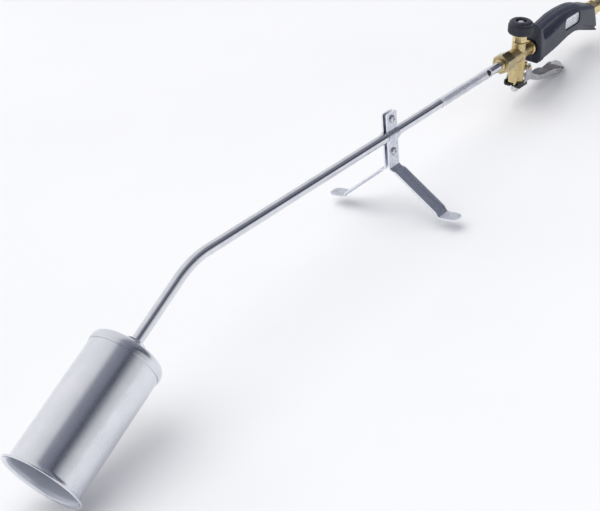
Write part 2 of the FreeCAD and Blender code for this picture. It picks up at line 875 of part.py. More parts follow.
def trigger_stem():
    """Stem with its seat disc, bottom plug, seal ring and the nut that the lever pulls."""
    stem = [
        ("0", "stem_bottom"),
        ("stem_radius - 0.5", "stem_bottom"),
        ("stem_radius", "stem_bottom + 0.5"),
        ("stem_radius", "stem_top - seat_wall"),
        ("seat_radius", "stem_top - seat_wall"),
        ("seat_radius", "stem_top"),
        ("0", "stem_top"),
    ]
    turned("trigger_stem", VALVE, stem, "V_Axis")
    disc = upright("stem_top", "spring_ceiling - 0.05", "0", "seat_radius")
    turned("seat_disc", VALVE, disc, "V_Axis")
    plug = [
        ("stem_radius + 0.06", "chamber_bottom"),
        ("spring_bore", "chamber_bottom"),
        ("spring_bore", "plug_top"),
        ("stem_radius + 0.06", "plug_top"),
        ("stem_radius + 0.06", "plug_top - 1.4"),
        ("stem_radius + 1", "plug_top - 1.4"),
        ("stem_radius + 1", "plug_top - 3"),
        ("stem_radius + 0.06", "plug_top - 3"),
    ]
    turned("chamber_plug", VALVE, plug, "V_Axis")
    seal = upright("plug_top - 3", "plug_top - 1.4", "stem_radius + 0.05", "stem_radius + 1")
    turned("stem_seal", VALVE, seal, "V_Axis")
    bottom = "stem_nut_top - stem_nut_height"
    hex_nut("stem_nut", VALVE, "XY_Plane", "stem_nut_across", bottom, "stem_nut_height", "stem_radius")


# Underside of the lever's arm, front to rear, with shallow hollows for the fingers.
LEVER_UNDERSIDE = (
    (18, -33.2),
    (31, -37.0),
    (45, -40.0),
    (55, -43.4),
    (64, -42.6),
    (73, -43.8),
    (82, -46.8),
    (91, -45.6),
    (99, -46.2),
    (107.5, -48.8),
)


def lever():
    """Squeeze lever: two ears on the pin, a high near wall, a low far one, finger waves, a lip."""
    body = new_body("lever")
    side_view = [
        ("pin_along - 4.6", "pin_up", "4.7", -1),
        ("pin_along + 4.6", "pin_up"),
        ("17", "-24.5"),
        ("37", "-32.6"),
        ("52", "-34.4", "26", -1),
        ("72", "-35.8"),
        ("85", "-40.6"),
        ("98", "-42.4"),
        ("107", "-45.4"),
        ("109.6", "-43.6"),
        ("110.8", "-45.2"),
    ]
    side_view += reversed(LEVER_UNDERSIDE)
    side_view += [
        ("shoe_rear + 3", "shoe_bottom"),
        ("shoe_front", "shoe_bottom"),
        ("shoe_front", "shoe_top"),
        ("-2", "-26"),
    ]
    view = outline(sketch_on(body, "XZ_Plane"), side_view)
    extrude(body, view, "2 * cheek_outer", symmetric=True)
    floor = [(x, f"{z} + lever_wall") for x, z in reversed(LEVER_UNDERSIDE[:-1])]
    hollow = [
        ("shoe_front - 5", "pin_up + 6"),
        ("120", "pin_up + 6"),
        ("112", "-42"),
        ("107", "-45.4"),
    ]
    hollow += floor
    hollow += [("13", "-31.8"), ("13", "-50"), ("shoe_front - 5", "-50")]
    trough = outline(sketch_on(body, "XZ_Plane"), hollow)
    extrude(body, trough, "2 * cheek_inner", cut=True, symmetric=True)
    for side, taper in ((-1, "near_taper"), (1, "far_taper")):
        waste = [
            ("taper_start", f"{side} * cheek_outer"),
            ("arm_rear", f"{side} * (cheek_outer - {taper})"),
            ("arm_rear", f"{side} * (cheek_outer + 2)"),
            ("taper_start", f"{side} * (cheek_outer + 2)"),
        ]
        edge = outline(sketch_on(body, "XY_Plane"), waste)
        extrude(body, edge, "240", cut=True, symmetric=True)
    lip = [(x, f"{z} + lever_wall + far_lip") for x, z in LEVER_UNDERSIDE[1:-1]]
    far_waste = [("26", "pin_up - 8"), ("104", "pin_up - 8")] + lip[::-1]
    far_side = outline(sketch_on(body, "XZ_Plane", "-(cheek_inner - 4)"), far_waste)
    extrude(body, far_side, "cheek_outer", cut=True)
    hole = circle(sketch_on(body, "XZ_Plane"), "pin_along", "pin_up", "pin_radius + valve_play")
    extrude(body, hole, "4 * cheek_outer", cut=True, symmetric=True)
    return keep(body, VALVE)


def lever_parts():
    """Black fork between the lever's cheeks, open to the front round the stem, and the pin."""
    body = new_body("lever_shoe")
    slot_rear = "shoe_rear + 3"
    plate = rectangle("shoe_front", "-cheek_inner", slot_rear, "cheek_inner")
    extrude(
        body,
        outline(sketch_on(body, "XY_Plane", "shoe_bottom"), plate),
        "shoe_top - shoe_bottom",
    )
    slot = rectangle("shoe_front - 1", "-shoe_slot", "shoe_rear", "shoe_slot")
    extrude(
        body,
        outline(sketch_on(body, "XY_Plane", "shoe_bottom - 1"), slot),
        "shoe_top - shoe_bottom + 2",
        cut=True,
        reverse=True,
    )
    keep(body, VALVE)
    shank = cylinder_y("pin_shank", "pin_radius", "-pin_half", "2 * pin_half", "pin_along", "pin_up")
    head = cylinder_y(
        "pin_head", "pin_radius + 0.8", "-pin_half - 0.8", "0.8", "pin_along", "pin_up"
    )
    pin = joined("Part::Fuse", "lever_pin", (shank, head))
    pin.Label = "lever_pin"
    keep(pin, VALVE)


# ---- grip -----------------------------------------------------------------------------------


def grip_section(body, name, side, inset):
    """Half of one cross-section of the grip, closed on the parting plane."""
    under, shoulder, crown = f"{name}_under", f"{name}_side", f"{name}_crown"
    half, spine = f"{name}_half", f"{name}_spine"
    corners = [
        ("0", f"{under} + {inset}"),
        (f"{side} * ({half} - grip_corner)", f"{under} + {inset}"),
        (f"{side} * ({half} - {inset})", f"{under} + grip_corner"),
        (f"{side} * ({half} - {inset})", f"{shoulder} - {inset} / 2"),
        (f"{side} * ({spine} - {inset})", f"({shoulder} + {crown}) / 2 - {inset} / 2"),
        (f"{side} * ({spine} - {inset}) * 0.8", f"{crown} - 1.6 - {inset}"),
        ("0", f"{crown} - {inset}"),
    ]
    return outline(sketch_on(body, "YZ_Plane", f"{name}_at"), corners)


def grip_shell(label, side):
    """One moulded half of the grip, hollow, with a bore for the gas tube along it."""
    body = new_body(label)
    loft(body, [grip_section(body, name, side, "0") for name in GRIP])
    hollow = [grip_section(body, "throat", side, "grip_wall")]
    hollow += [grip_section(body, name, side, "grip_wall") for name in ("fore", "palm", "waist")]
    hollow += [grip_section(body, "heel", side, "grip_wall")]
    loft(body, hollow, cut=True)
    bore = [
        ("shield_at - 1", "0"),
        ("pommel_at + 1", "0"),
        ("pommel_at + 1", "grip_tube_bore"),
        ("rear_boss_end + 1", "grip_tube_bore"),
        ("rear_boss_end + 1", "rear_boss_radius + grip_boss_play"),
        ("shield_at - 1", "rear_boss_radius + grip_boss_play"),
    ]
    turn(body, bore, cut=True)
    for face, slope, waste_end in (
        ("rear_at_axis", "rear_slope", "pommel_at + 30"),
        ("shield_face", "shield_slope", "shield_at - 30"),
    ):
        waste = [
            (f"{face} - 40 * tan({slope})", "40"),
            (f"{face} + 40 * tan({slope})", "-40"),
            (waste_end, "-40"),
            (waste_end, "40"),
        ]
        side_view = outline(sketch_on(body, "XZ_Plane"), waste)
        extrude(body, side_view, "4 * pommel_half", cut=True, symmetric=True)
    return body


def plate_corners(play):
    return rounded(
        f"plate_front - {play}",
        f"plate_low - {play}",
        f"plate_rear + {play}",
        f"plate_high + {play}",
        "plate_corner",
    )


def grip():
    """Two shells, their screws and the metal plate let into the near shell."""
    near = grip_shell("grip_shell_near", -1)
    recess = outline(
        sketch_on(near, "XZ_Plane", "plate_outer - plate_wall"), plate_corners("plate_play")
    )
    extrude(near, recess, "plate_pocket", cut=True, reverse=True)
    keep(near, VALVE)
    far = grip_shell("grip_shell_far", 1)
    for name in ("front", "middle", "rear"):
        at = (f"{name}_screw_along", f"{name}_screw_up")
        for radius, depth in (
            ("shell_screw_head + valve_play", "shell_screw_seat"),
            ("shell_screw_radius + valve_play", "shell_screw_seat - 4"),
        ):
            well = circle(sketch_on(far, "XZ_Plane", f"-({depth})"), *at, radius)
            extrude(far, well, "plate_pocket + 4", cut=True)
    keep(far, VALVE)
    plate = new_body("grip_plate")
    outer_face = sketch_on(plate, "XZ_Plane", "plate_outer - plate_wall")
    extrude(plate, outline(outer_face, plate_corners("0")), "plate_wall")
    keep(plate, VALVE)
    shell_screws()


def shell_screws():
    """Three sunk pan-head screws that join the shells, driven from the far side."""
    screws = []
    for name in ("front", "middle", "rear"):
        along, height = f"{name}_screw_along", f"{name}_screw_up"
        length = "shell_screw_seat - shell_screw_end"
        shank = cylinder_y(
            f"{name}_thread", "shell_screw_radius", "shell_screw_end", length, along, height
        )
        head = cylinder_y(
            f"{name}_pan", "shell_screw_head", "shell_screw_seat", "shell_screw_height", along, height
        )
        screws.append(joined("Part::Fuse", f"{name}_shell_screw", (shank, head)))
    grouped("shell_screws", VALVE, screws)


def gas_inlet():
    """Lock nut in front of the grip, tube through it, and the threaded hose connector."""
    locknut = [
        ("locknut_front", "rear_boss_radius"),
        ("locknut_rear", "rear_boss_radius"),
        ("locknut_rear", "locknut_radius"),
        ("locknut_front + 0.8", "locknut_radius"),
        ("locknut_front", "locknut_radius - 0.8"),
    ]
    turned("grip_locknut", VALVE, locknut)
    tube = ring("rear_boss_end", "connector_hex_at", "inlet_bore", "inlet_radius")
    turned("inlet_tube", VALVE, tube)
    body = new_body("hose_connector")
    flats = outline(
        sketch_on(body, "YZ_Plane", "connector_hex_at"), hexagon("connector_across")
    )
    extrude(body, flats, "connector_hex_end - connector_hex_at")
    thread = [
        ("connector_hex_end - 1", "0"),
        ("connector_end", "0"),
        ("connector_end", "connector_radius - 1.2"),
        ("connector_end - 1.2", "connector_radius"),
        ("connector_hex_end - 1", "connector_radius"),
    ]
    turn(body, thread)
    turn(body, rectangle("connector_hex_at - 1", "0", "connector_end + 1", "connector_bore"), cut=True)
    return keep(body, VALVE)


# ---- build ----------------------------------------------------------------------------------


def failures():
    """Objects that did not recompute, and sub-parts without a sound shape."""
    bad = [item.Label for item in doc.Objects if {"Invalid", "Error"} & set(item.State)]
    for label, item in parts.items():
        if item.Shape.isNull() or not item.Shape.isValid():
            bad.append(label)
    return bad


def stand_on_origin():
    """Move every frame so that the torch stands on Z = 0, centred over the origin."""
    whole = FreeCAD.BoundBox()
    for item in parts.values():
        whole.add(item.Shape.optimalBoundingBox(True, False))
    for name, move in (
        ("origin_along", -whole.Center.x),
        ("origin_side", -whole.Center.y),
        ("origin_up", -whole.ZMin),
    ):
        row = list(SIZES).index(name) + 1
        sheet.set(f"B{row}", f"{move:.4f}")
    doc.recompute()


def export():
    os.makedirs("parts", exist_ok=True)
    for label, item in parts.items():
        item.Shape.exportStep(f"parts/{label}.step")


fill_sheet()
lance_tube()
lance_label()
lance_nipple()
union_nut()
burner_hub()
burner_cap()
burner_bell()
burner_inside()
stand_leg("stand_leg_near", -1)
stand_leg("stand_leg_far", 1)
stand_fasteners()
valve_body()
regulator_spindle()
knob()
return_spring()
trigger_stem()
lever()
lever_parts()
grip()
gas_inlet()
doc.recompute()
broken = failures()
if broken:
    raise SystemExit("not sound: " + ", ".join(broken))
stand_on_origin()
broken = failures()
if broken:
    raise SystemExit("not sound after placing: " + ", ".join(broken))
export()
print("origin", [round(number(name), 4) for name in ("origin_along", "origin_side", "origin_up")])
for label, item in parts.items():
    print(label, len(item.Shape.Solids), round(item.Shape.Volume, 1))
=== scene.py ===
import json
import math

import bmesh
import bpy
import numpy as np
from mathutils import Matrix, Vector

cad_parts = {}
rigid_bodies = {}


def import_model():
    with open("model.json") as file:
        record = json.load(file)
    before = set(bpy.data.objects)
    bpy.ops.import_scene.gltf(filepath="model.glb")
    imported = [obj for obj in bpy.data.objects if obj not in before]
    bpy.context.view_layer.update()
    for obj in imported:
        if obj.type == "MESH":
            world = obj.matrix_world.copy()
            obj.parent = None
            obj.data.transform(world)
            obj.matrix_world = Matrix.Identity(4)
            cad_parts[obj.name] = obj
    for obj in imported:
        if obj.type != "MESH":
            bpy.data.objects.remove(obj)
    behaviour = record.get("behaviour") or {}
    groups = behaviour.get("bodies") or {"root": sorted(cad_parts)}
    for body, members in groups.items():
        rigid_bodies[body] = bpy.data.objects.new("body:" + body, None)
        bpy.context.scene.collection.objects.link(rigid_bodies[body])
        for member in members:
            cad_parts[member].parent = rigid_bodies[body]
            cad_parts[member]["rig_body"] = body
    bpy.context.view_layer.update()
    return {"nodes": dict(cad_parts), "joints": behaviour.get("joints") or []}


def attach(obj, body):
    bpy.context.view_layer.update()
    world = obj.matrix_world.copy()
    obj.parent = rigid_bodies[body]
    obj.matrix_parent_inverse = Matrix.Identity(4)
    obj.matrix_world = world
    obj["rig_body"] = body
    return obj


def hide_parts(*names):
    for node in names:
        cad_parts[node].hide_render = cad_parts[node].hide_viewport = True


# Looks of the propane torch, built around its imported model. Geometry is worked out in millimetres
# in the axes of four places (lance, burner, stand, valve) and turned into pieces in metres there.

MM = 0.001
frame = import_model()
scene = bpy.context.scene
joints = {joint["name"]: joint for joint in frame["joints"]}

# ---- driving sizes, in millimetres and degrees ------------------------------------------------

BEND_ANGLE = 27.2
BEND_RADIUS = 75.0
TUBE_FRONT = 96.0
TUBE_WALL = 1.0
SWIVEL_ALONG = 498.0
CLAMP_ALONG = 281.0
VALVE_ALONG = 524.0

BELL_RADIUS = 30.0
BELL_FLARE = 5.2
SHEET = 0.8
CAP_SHOULDER = 7.6
SPIGOT_RADIUS = 6.5
AIR_HOLE_RADIUS = 4.2
AIR_HOLE_RING = 15.2
AIR_HOLES = 6
TUBE_FIT = 4.8

STRIP_WIDTH = 16.0
STRIP_WALL = 1.5
STRIP_GAP = 1.5
STRIP_TOP = 22.3
LEG_BEND = 31.0
LEG_LENGTH = 65.0
LEG_SPLAY = 52.5
FOOT_LENGTH = 17.5
SCREW_HEIGHTS = (16.0, -15.5)
SCREW_RADIUS = 2.0

CHAMBER_ACROSS = 15.5
PLUG_RADIUS = 5.4
REAR_BOSS_RADIUS = 5.8
PIN = (8.0, -14.5)
PIN_RADIUS = 1.5
CHEEK_OUTER = 10.8

# ---- places ---------------------------------------------------------------------------------


def place(origin, along, up):
    """A frame with X along a direction and Z as near another as it can be."""
    x = Vector(along).normalized()
    y = Vector(up).cross(x).normalized()
    matrix = Matrix((x, y, x.cross(y))).transposed().to_4x4()
    matrix.translation = origin
    return matrix


lance_axis = Vector(joints["lance_swivel"]["axis"])
bend_point = Vector(joints["lance_swivel"]["pos_m"]) - lance_axis * SWIVEL_ALONG * MM
LANCE = place(bend_point, lance_axis, (0, 0, 1))
BURNER = LANCE @ Matrix.Rotation(math.radians(180 - BEND_ANGLE), 4, "Y")
STAND = LANCE @ Matrix.Translation((CLAMP_ALONG * MM, 0, 0))
valve_point = bend_point + lance_axis * VALVE_ALONG * MM
VALVE = place(valve_point, lance_axis, joints["knob_turn"]["axis"])


def extent(node, where):
    """Lowest and highest corner of a CAD node along a place's axes, in millimetres."""
    back = where.inverted()
    points = np.array([back @ v.co for v in frame["nodes"][node].data.vertices]) / MM
    return points.min(0), points.max(0)


# ---- outlines -------------------------------------------------------------------------------


def arc(x, y, radius, start, end, steps=12):
    """Points on an arc, angles in degrees."""
    turns = np.radians(np.linspace(start, end, steps + 1))
    return [(x + radius * math.cos(a), y + radius * math.sin(a)) for a in turns]


def eased(corners, radius=0.3, steps=3, closed=True):
    """An outline with its corners rounded; a corner (x, y, r) carries its own radius."""
    result = []
    count = len(corners)
    for k, corner in enumerate(corners):
        point = Vector(corner[:2])
        if not closed and k in (0, count - 1):
            result.append(tuple(point))
            continue
        before = Vector(corners[k - 1][:2]) - point
        after = Vector(corners[(k + 1) % count][:2]) - point
        room = 0.45 * min(before.length, after.length)
        wanted = corner[2] if len(corner) == 3 else radius
        if room < 1e-6 or wanted < 1e-6:
            result.append(tuple(point))
            continue
        half = before.angle(after) / 2
        if half > math.radians(86):
            result.append(tuple(point))
            continue
        reach = min(wanted / math.tan(half), room)
        first = point + before.normalized() * reach
        last = point + after.normalized() * reach
        for share in np.linspace(0, 1, steps + 1):
            result.append(tuple(first.lerp(point, share).lerp(point.lerp(last, share), share)))
    return result


def dense(points, step, closed=True):
    """The same outline with points no further apart than a step."""
    result = []
    ends = points[1:] + points[:1] if closed else points[1:]
    for a, b in zip(points, ends):
        parts = max(1, math.ceil(math.dist(a, b) / step))
        for k in range(parts):
            result.append(tuple(np.array(a) + (np.array(b) - np.array(a)) * k / parts))
    return result if closed else result + [points[-1]]


def smooth(x, xs, ys):
    """A curve through stations that doesn't overshoot between them."""
    xs, ys = np.array(xs, float), np.array(ys, float)
    slope = np.diff(ys) / np.diff(xs)
    product = slope[:-1] * slope[1:]
    safe = np.where(product > 0, slope[:-1] + slope[1:], 1.0)
    inner = np.where(product > 0, 2 * product / safe, 0.0)
    tangent = np.concatenate(([slope[0]], inner, [slope[-1]]))
    k = np.clip(np.searchsorted(xs, x) - 1, 0, len(xs) - 2)
    width = xs[k + 1] - xs[k]
    s = np.clip((x - xs[k]) / width, 0, 1)
    return (
        ys[k] * (1 + 2 * s) * (1 - s) ** 2
        + ys[k + 1] * s**2 * (3 - 2 * s)
        + width * tangent[k] * s * (1 - s) ** 2
        + width * tangent[k + 1] * s**2 * (s - 1)
    )


# ---- geometry: (points in mm, faces) --------------------------------------------------------


def lathe(outline, steps=96, shape=None):
    """A closed outline of (along, radius) turned about X; shape(angle, along, radius) bends it."""
    points = []
    for k in range(steps):
        angle = math.tau * k / steps
        for along, radius in outline:
            r = shape(angle, along, radius) if shape else radius
            points.append((along, -r * math.sin(angle), r * math.cos(angle)))
    return points, grid_faces(steps, len(outline), True, True)


def tube(low, high, radius, inner=0.0, ease=0.3, steps=72):
    """A plain round bar or pipe along X."""
    return lathe(eased([(low, inner), (high, inner), (high, radius), (low, radius)], ease), steps)


def grid_faces(rows, columns, round_rows, round_columns):
    """Quads of a grid of points; a round direction closes on itself."""
    faces = []
    for i in range(rows if round_rows else rows - 1):
        for j in range(columns if round_columns else columns - 1):
            a, b = i * columns, (i + 1) % rows * columns
            following = (j + 1) % columns
            faces.append((a + j, a + following, b + following, b + j))
    return faces


def prism(outline, low, high, axis="y"):
    """An outline in XZ pushed along Y, or in XY pushed along Z, or in YZ pushed along X."""
    order = {"x": (2, 0, 1), "y": (0, 2, 1), "z": (0, 1, 2)}[axis]
    points = []
    for level in (low, high):
        for a, b in outline:
            raw = (a, b, level)
            points.append(tuple(raw[i] for i in order))
    count = len(outline)
    faces = grid_faces(2, count, False, True)
    return points, faces + [tuple(range(count)), tuple(range(2 * count - 1, count - 1, -1))]


def hexagon_reach(across):
    """How far a hexagon with a corner at the top reaches at an angle."""

    def reach(angle):
        off = (angle + math.pi / 6) % (math.pi / 3) - math.pi / 6
        return across / 2 / math.cos(math.pi / 6 - abs(off))

    return reach


def hex_nut(across, low, high, bore, bevel=1.0, start=0.0):
    """A nut along X with bevelled corners; start turns its first corner from the top."""
    corner = across / 2 / math.cos(math.pi / 6)
    face = across / 2 - 0.25
    reach = hexagon_reach(across)
    tip = corner + 0.05
    outline = [(low, bore), (low, face), (low + bevel, tip), (high - bevel, tip)]
    outline += [(high, face), (high, bore)]

    def shape(angle, along, radius):
        return min(radius, reach(angle + start))

    return lathe(dense(eased(outline, 0.15, 2), 0.35), 96, shape)


def moved(geometry, matrix):
    points, faces = geometry
    return [tuple(matrix @ Vector(p)) for p in points], faces


def along_y(geometry, x=0.0, z=0.0):
    """Turn a piece made along X so that it lies along Y, through (x, z)."""
    return moved(geometry, Matrix.Translation((x, 0, z)) @ Matrix.Rotation(math.pi / 2, 4, "Z"))


def along_z(geometry, x=0.0, y=0.0):
    """Turn a piece made along X so that it stands along Z, through (x, y)."""
    return moved(geometry, Matrix.Translation((x, y, 0)) @ Matrix.Rotation(-math.pi / 2, 4, "Y"))


def together(*geometries):
    points, faces = [], []
    for some_points, some_faces in geometries:
        shift = len(points)
        points += list(some_points)
        faces += [tuple(i + shift for i in face) for face in some_faces]
    return points, faces


def mesh_of(name, geometry, scale=1.0):
    """A clean mesh: doubled points merged, faces outwards."""
    points, faces = geometry
    mesh = bpy.data.meshes.new(name)
    mesh.from_pydata([tuple(scale * c for c in p) for p in points], [], faces)
    editing = bmesh.new()
    editing.from_mesh(mesh)
    bmesh.ops.remove_doubles(editing, verts=editing.verts, dist=1e-4 * scale)
    bmesh.ops.dissolve_degenerate(editing, edges=editing.edges, dist=1e-5 * scale)
    bmesh.ops.recalc_face_normals(editing, faces=editing.faces)
    editing.to_mesh(mesh)
    editing.free()
    return mesh


def changed(geometry, modifiers):
    """Geometry after some of Blender's modifiers: (type, settings) each."""
    item = bpy.data.objects.new("scratch", mesh_of("scratch", geometry))
    scene.collection.objects.link(item)
    for kind, settings in modifiers:
        modifier = item.modifiers.new(kind, kind)
        for word, setting in settings.items():
            setattr(modifier, word, setting)
    bpy.context.view_layer.update()
    result = item.evaluated_get(bpy.context.evaluated_depsgraph_get()).to_mesh()
    made = [tuple(v.co) for v in result.vertices], [tuple(p.vertices) for p in result.polygons]
    bpy.data.objects.remove(item)
    return made


def carved(geometry, *tools):
    """Geometry with tools cut out of it."""
    cutters = []
    for tool in tools:
        cutter = bpy.data.objects.new("cutter", mesh_of("cutter", tool))
        scene.collection.objects.link(cutter)
        cutters.append(cutter)
    cut = {"operation": "DIFFERENCE", "solver": "EXACT"}
    made = changed(geometry, [("BOOLEAN", {**cut, "object": cutter}) for cutter in cutters])
    for cutter in cutters:
        bpy.data.objects.remove(cutter)
    return made


def cast(geometry, voxel=0.5, rounds=6):
    """Solids melted into one casting with small fillets."""
    return changed(
        geometry,
        [
            ("REMESH", {"mode": "VOXEL", "voxel_size": voxel}),
            ("SMOOTH", {"factor": 0.5, "iterations": rounds}),
        ],
    )


def rounded_box(low, high, radius=0.4):
    """A block with rounded upright edges."""
    (x0, y0, z0), (x1, y1, z1) = low, high
    outline = eased([(x0, y0), (x1, y0), (x1, y1), (x0, y1)], radius, 4)
    return prism(outline, z0, z1, "z")


# ---- materials ------------------------------------------------------------------------------


def finish(
    name,
    colour,
    shade,
    metallic=1.0,
    rough=(0.25, 0.4),
    mottle=9.0,
    grain=0.35,
    bump=0.03,
    stretch=(1, 1, 1),
    worn=None,
    worn_from=0.53,
    scratches=0.0,
    lay=None,
):
    """A surface with mottled colour, uneven gloss, fine grain, scratches and worn edges.

    mottle and grain are the sizes of their patches and bump the grain's depth, in millimetres;
    stretch draws the grain out in the axes of the place it lies in.
    """
    made = bpy.data.materials.new(name)
    made.use_nodes = True
    tree = made.node_tree
    shader = tree.nodes["Principled BSDF"]
    shader.inputs["Metallic"].default_value = metallic

    def add(kind, **inputs):
        node = tree.nodes.new("ShaderNode" + kind)
        for word, value in inputs.items():
            node.inputs[word.replace("_", " ")].default_value = value
        return node

    def join(source, target):
        tree.links.new(source, target)

    def mix(share, first, second):
        node = add("Mix")
        node.data_type = "RGBA"
        for index, value in ((0, share), (6, first), (7, second)):
            socket = node.inputs[index]
            if isinstance(value, bpy.types.NodeSocket):
                join(value, socket)
            else:
                socket.default_value = value if isinstance(value, float) else (*value, 1.0)
        return node.outputs[2]

    def ranged(source, low, high, to_low, to_high):
        node = tree.nodes.new("ShaderNodeMapRange")
        for index, value in enumerate((low, high, to_low, to_high), start=1):
            node.inputs[index].default_value = value
        join(source, node.inputs[0])
        return node.outputs[0]

    def summed(first, second):
        node = tree.nodes.new("ShaderNodeMath")
        node.operation = "ADD"
        join(first, node.inputs[0])
        join(second, node.inputs[1])
        return node.outputs[0]

    def noisy(size, detail, squeeze=(1, 1, 1), distortion=0.0):
        mapping = add("Mapping", Scale=tuple(1 / share for share in squeeze))
        mapping.vector_type = "TEXTURE"
        mapping.inputs["Rotation"].default_value = (lay or LANCE).to_euler()
        join(coordinates.outputs["Object"], mapping.inputs["Vector"])
        noise = add("TexNoise", Scale=1 / (size * MM), Detail=detail, Distortion=distortion)
        join(mapping.outputs[0], noise.inputs["Vector"])
        return noise.outputs["Fac"]

    coordinates = tree.nodes.new("ShaderNodeTexCoord")
    patches = noisy(mottle, 5.0)
    fine = noisy(grain, 3.0, stretch)
    colour_now = mix(ranged(patches, 0.35, 0.65, 0.0, 1.0), colour, shade)
    gloss = ranged(summed(patches, fine), 0.6, 1.4, *rough)
    if scratches:
        lines = noisy(0.5, 2.0, (0.06, 1.0, 1.3), 0.4)
        marks = ranged(lines, 0.66, 0.74, 0.0, scratches)
        lighter = tuple(min(1.0, c * 1.25 + 0.03) for c in colour)
        colour_now = mix(marks, colour_now, lighter)
        gloss = summed(gloss, ranged(marks, 0.0, 1.0, 0.0, 0.25))
    if worn:
        edges = tree.nodes.new("ShaderNodeNewGeometry").outputs["Pointiness"]
        ragged = summed(edges, ranged(patches, 0.3, 0.7, -0.015, 0.015))
        colour_now = mix(ranged(ragged, worn_from, worn_from + 0.06, 0.0, 1.0), colour_now, worn)
    join(colour_now, shader.inputs["Base Color"])
    join(gloss, shader.inputs["Roughness"])
    relief = add("Bump", Strength=1.0, Distance=bump * MM)
    join(fine, relief.inputs["Height"])
    join(relief.outputs["Normal"], shader.inputs["Normal"])
    return made


LOOKS = {
    "lance_zinc": dict(
        colour=(0.74, 0.75, 0.79), shade=(0.66, 0.67, 0.73), rough=(0.1, 0.22), mottle=14,
        grain=0.5, bump=0.012, stretch=(0.04, 1, 1), scratches=0.5,
    ),
    "burner_steel": dict(
        colour=(0.78, 0.79, 0.84), shade=(0.71, 0.725, 0.78), rough=(0.2, 0.3), mottle=26,
        grain=0.6, bump=0.008, stretch=(0.05, 1, 1), scratches=0.3, lay=BURNER,
    ),
    # painted light: a duller, less metallic copy of the bell steel, so the inside of the bell and
    # the flame disc look lit by light reflected into the mouth
    "burner_inner_painted_light": dict(
        colour=(0.66, 0.69, 0.76), shade=(0.58, 0.61, 0.69), rough=(0.35, 0.5), mottle=16,
        metallic=0.35, grain=0.6, bump=0.02, stretch=(0.08, 1, 1), lay=BURNER,
    ),
    "fastener_zinc": dict(
        colour=(0.74, 0.74, 0.76), shade=(0.60, 0.61, 0.66), rough=(0.2, 0.36), mottle=2.5,
        grain=0.2, bump=0.015, worn=(0.88, 0.88, 0.9),
    ),
    "stand_zinc": dict(
        colour=(0.72, 0.74, 0.80), shade=(0.52, 0.55, 0.64), rough=(0.22, 0.42), mottle=2.2,
        grain=0.7, bump=0.06, worn=(0.86, 0.87, 0.92), worn_from=0.54, scratches=0.2,
    ),
    "brass": dict(
        colour=(0.68, 0.55, 0.30), shade=(0.54, 0.43, 0.22), rough=(0.3, 0.48), mottle=4,
        grain=0.45, bump=0.07, worn=(0.92, 0.81, 0.52), worn_from=0.515,
    ),
    "brass_turned": dict(
        colour=(0.78, 0.64, 0.36), shade=(0.68, 0.55, 0.29), rough=(0.16, 0.3), mottle=5,
        grain=0.25, bump=0.012, worn=(0.93, 0.83, 0.56),
    ),
    "brass_nut": dict(
        colour=(0.56, 0.47, 0.28), shade=(0.42, 0.355, 0.20), rough=(0.22, 0.38), mottle=6,
        grain=0.3, bump=0.02, worn=(0.93, 0.84, 0.60), worn_from=0.515,
    ),
    "seal_rubber": dict(
        colour=(0.02, 0.02, 0.022), shade=(0.03, 0.03, 0.033), metallic=0.0, rough=(0.6, 0.8),
        mottle=2, grain=0.2, bump=0.02,
    ),
    "knob_plastic": dict(
        colour=(0.020, 0.021, 0.038), shade=(0.014, 0.015, 0.028), metallic=0.0,
        rough=(0.34, 0.48), mottle=6, grain=0.3, bump=0.025, worn=(0.05, 0.053, 0.08),
        worn_from=0.55,
    ),
    "spring_steel": dict(
        colour=(0.5, 0.5, 0.52), shade=(0.42, 0.42, 0.45), rough=(0.25, 0.35), mottle=3,
    ),
    "lever_steel": dict(
        colour=(0.60, 0.595, 0.62), shade=(0.48, 0.48, 0.51), rough=(0.28, 0.44), mottle=5,
        grain=0.5, bump=0.05, worn=(0.84, 0.84, 0.87), worn_from=0.525,
    ),
    # painted shade: a darker copy of the lever steel for the floor of the lever's trough, in place
    # of the shadow between its walls
    "lever_painted_shade": dict(
        colour=(0.20, 0.20, 0.215), shade=(0.13, 0.13, 0.14), metallic=0.8, rough=(0.4, 0.55),
        mottle=5, grain=0.5, bump=0.06,
    ),
    "fork_black": dict(
        colour=(0.035, 0.035, 0.04), shade=(0.02, 0.02, 0.024), metallic=0.3, rough=(0.35, 0.5),
        mottle=3, grain=0.3, bump=0.02,
    ),
    "grip_plastic": dict(
        colour=(0.040, 0.045, 0.072), shade=(0.032, 0.036, 0.060), metallic=0.0,
        rough=(0.38, 0.5), mottle=12, grain=0.4, bump=0.05, worn=(0.075, 0.08, 0.115),
        worn_from=0.56, scratches=0.06,
    ),
    "plate_aluminium": dict(
        colour=(0.82, 0.83, 0.87), shade=(0.74, 0.75, 0.80), metallic=0.85, rough=(0.34, 0.48),
        mottle=5, grain=0.3, bump=0.01, stretch=(0.1, 1, 1),
    ),
    "plate_print": dict(
        colour=(0.42, 0.43, 0.48), shade=(0.5, 0.51, 0.56), metallic=0.5, rough=(0.4, 0.55),
        mottle=2, grain=0.3, bump=0.01,
    ),
    "label_film": dict(
        colour=(0.76, 0.77, 0.83), shade=(0.68, 0.69, 0.76), metallic=0.55, rough=(0.25, 0.4),
        mottle=10, grain=0.4, bump=0.015,
    ),
    "label_print": dict(
        colour=(0.33, 0.34, 0.40), shade=(0.42, 0.43, 0.49), metallic=0.3, rough=(0.4, 0.6),
        mottle=1.5, grain=0.3, bump=0.01,
    ),
    "label_dot": dict(
        colour=(0.012, 0.012, 0.016), shade=(0.02, 0.02, 0.025), metallic=0.0, rough=(0.5, 0.7),
        mottle=1.5, grain=0.3, bump=0.01,
    ),
}
FINISHES = {name: finish(name, **look) for name, look in LOOKS.items()}


# ---- pieces ---------------------------------------------------------------------------------


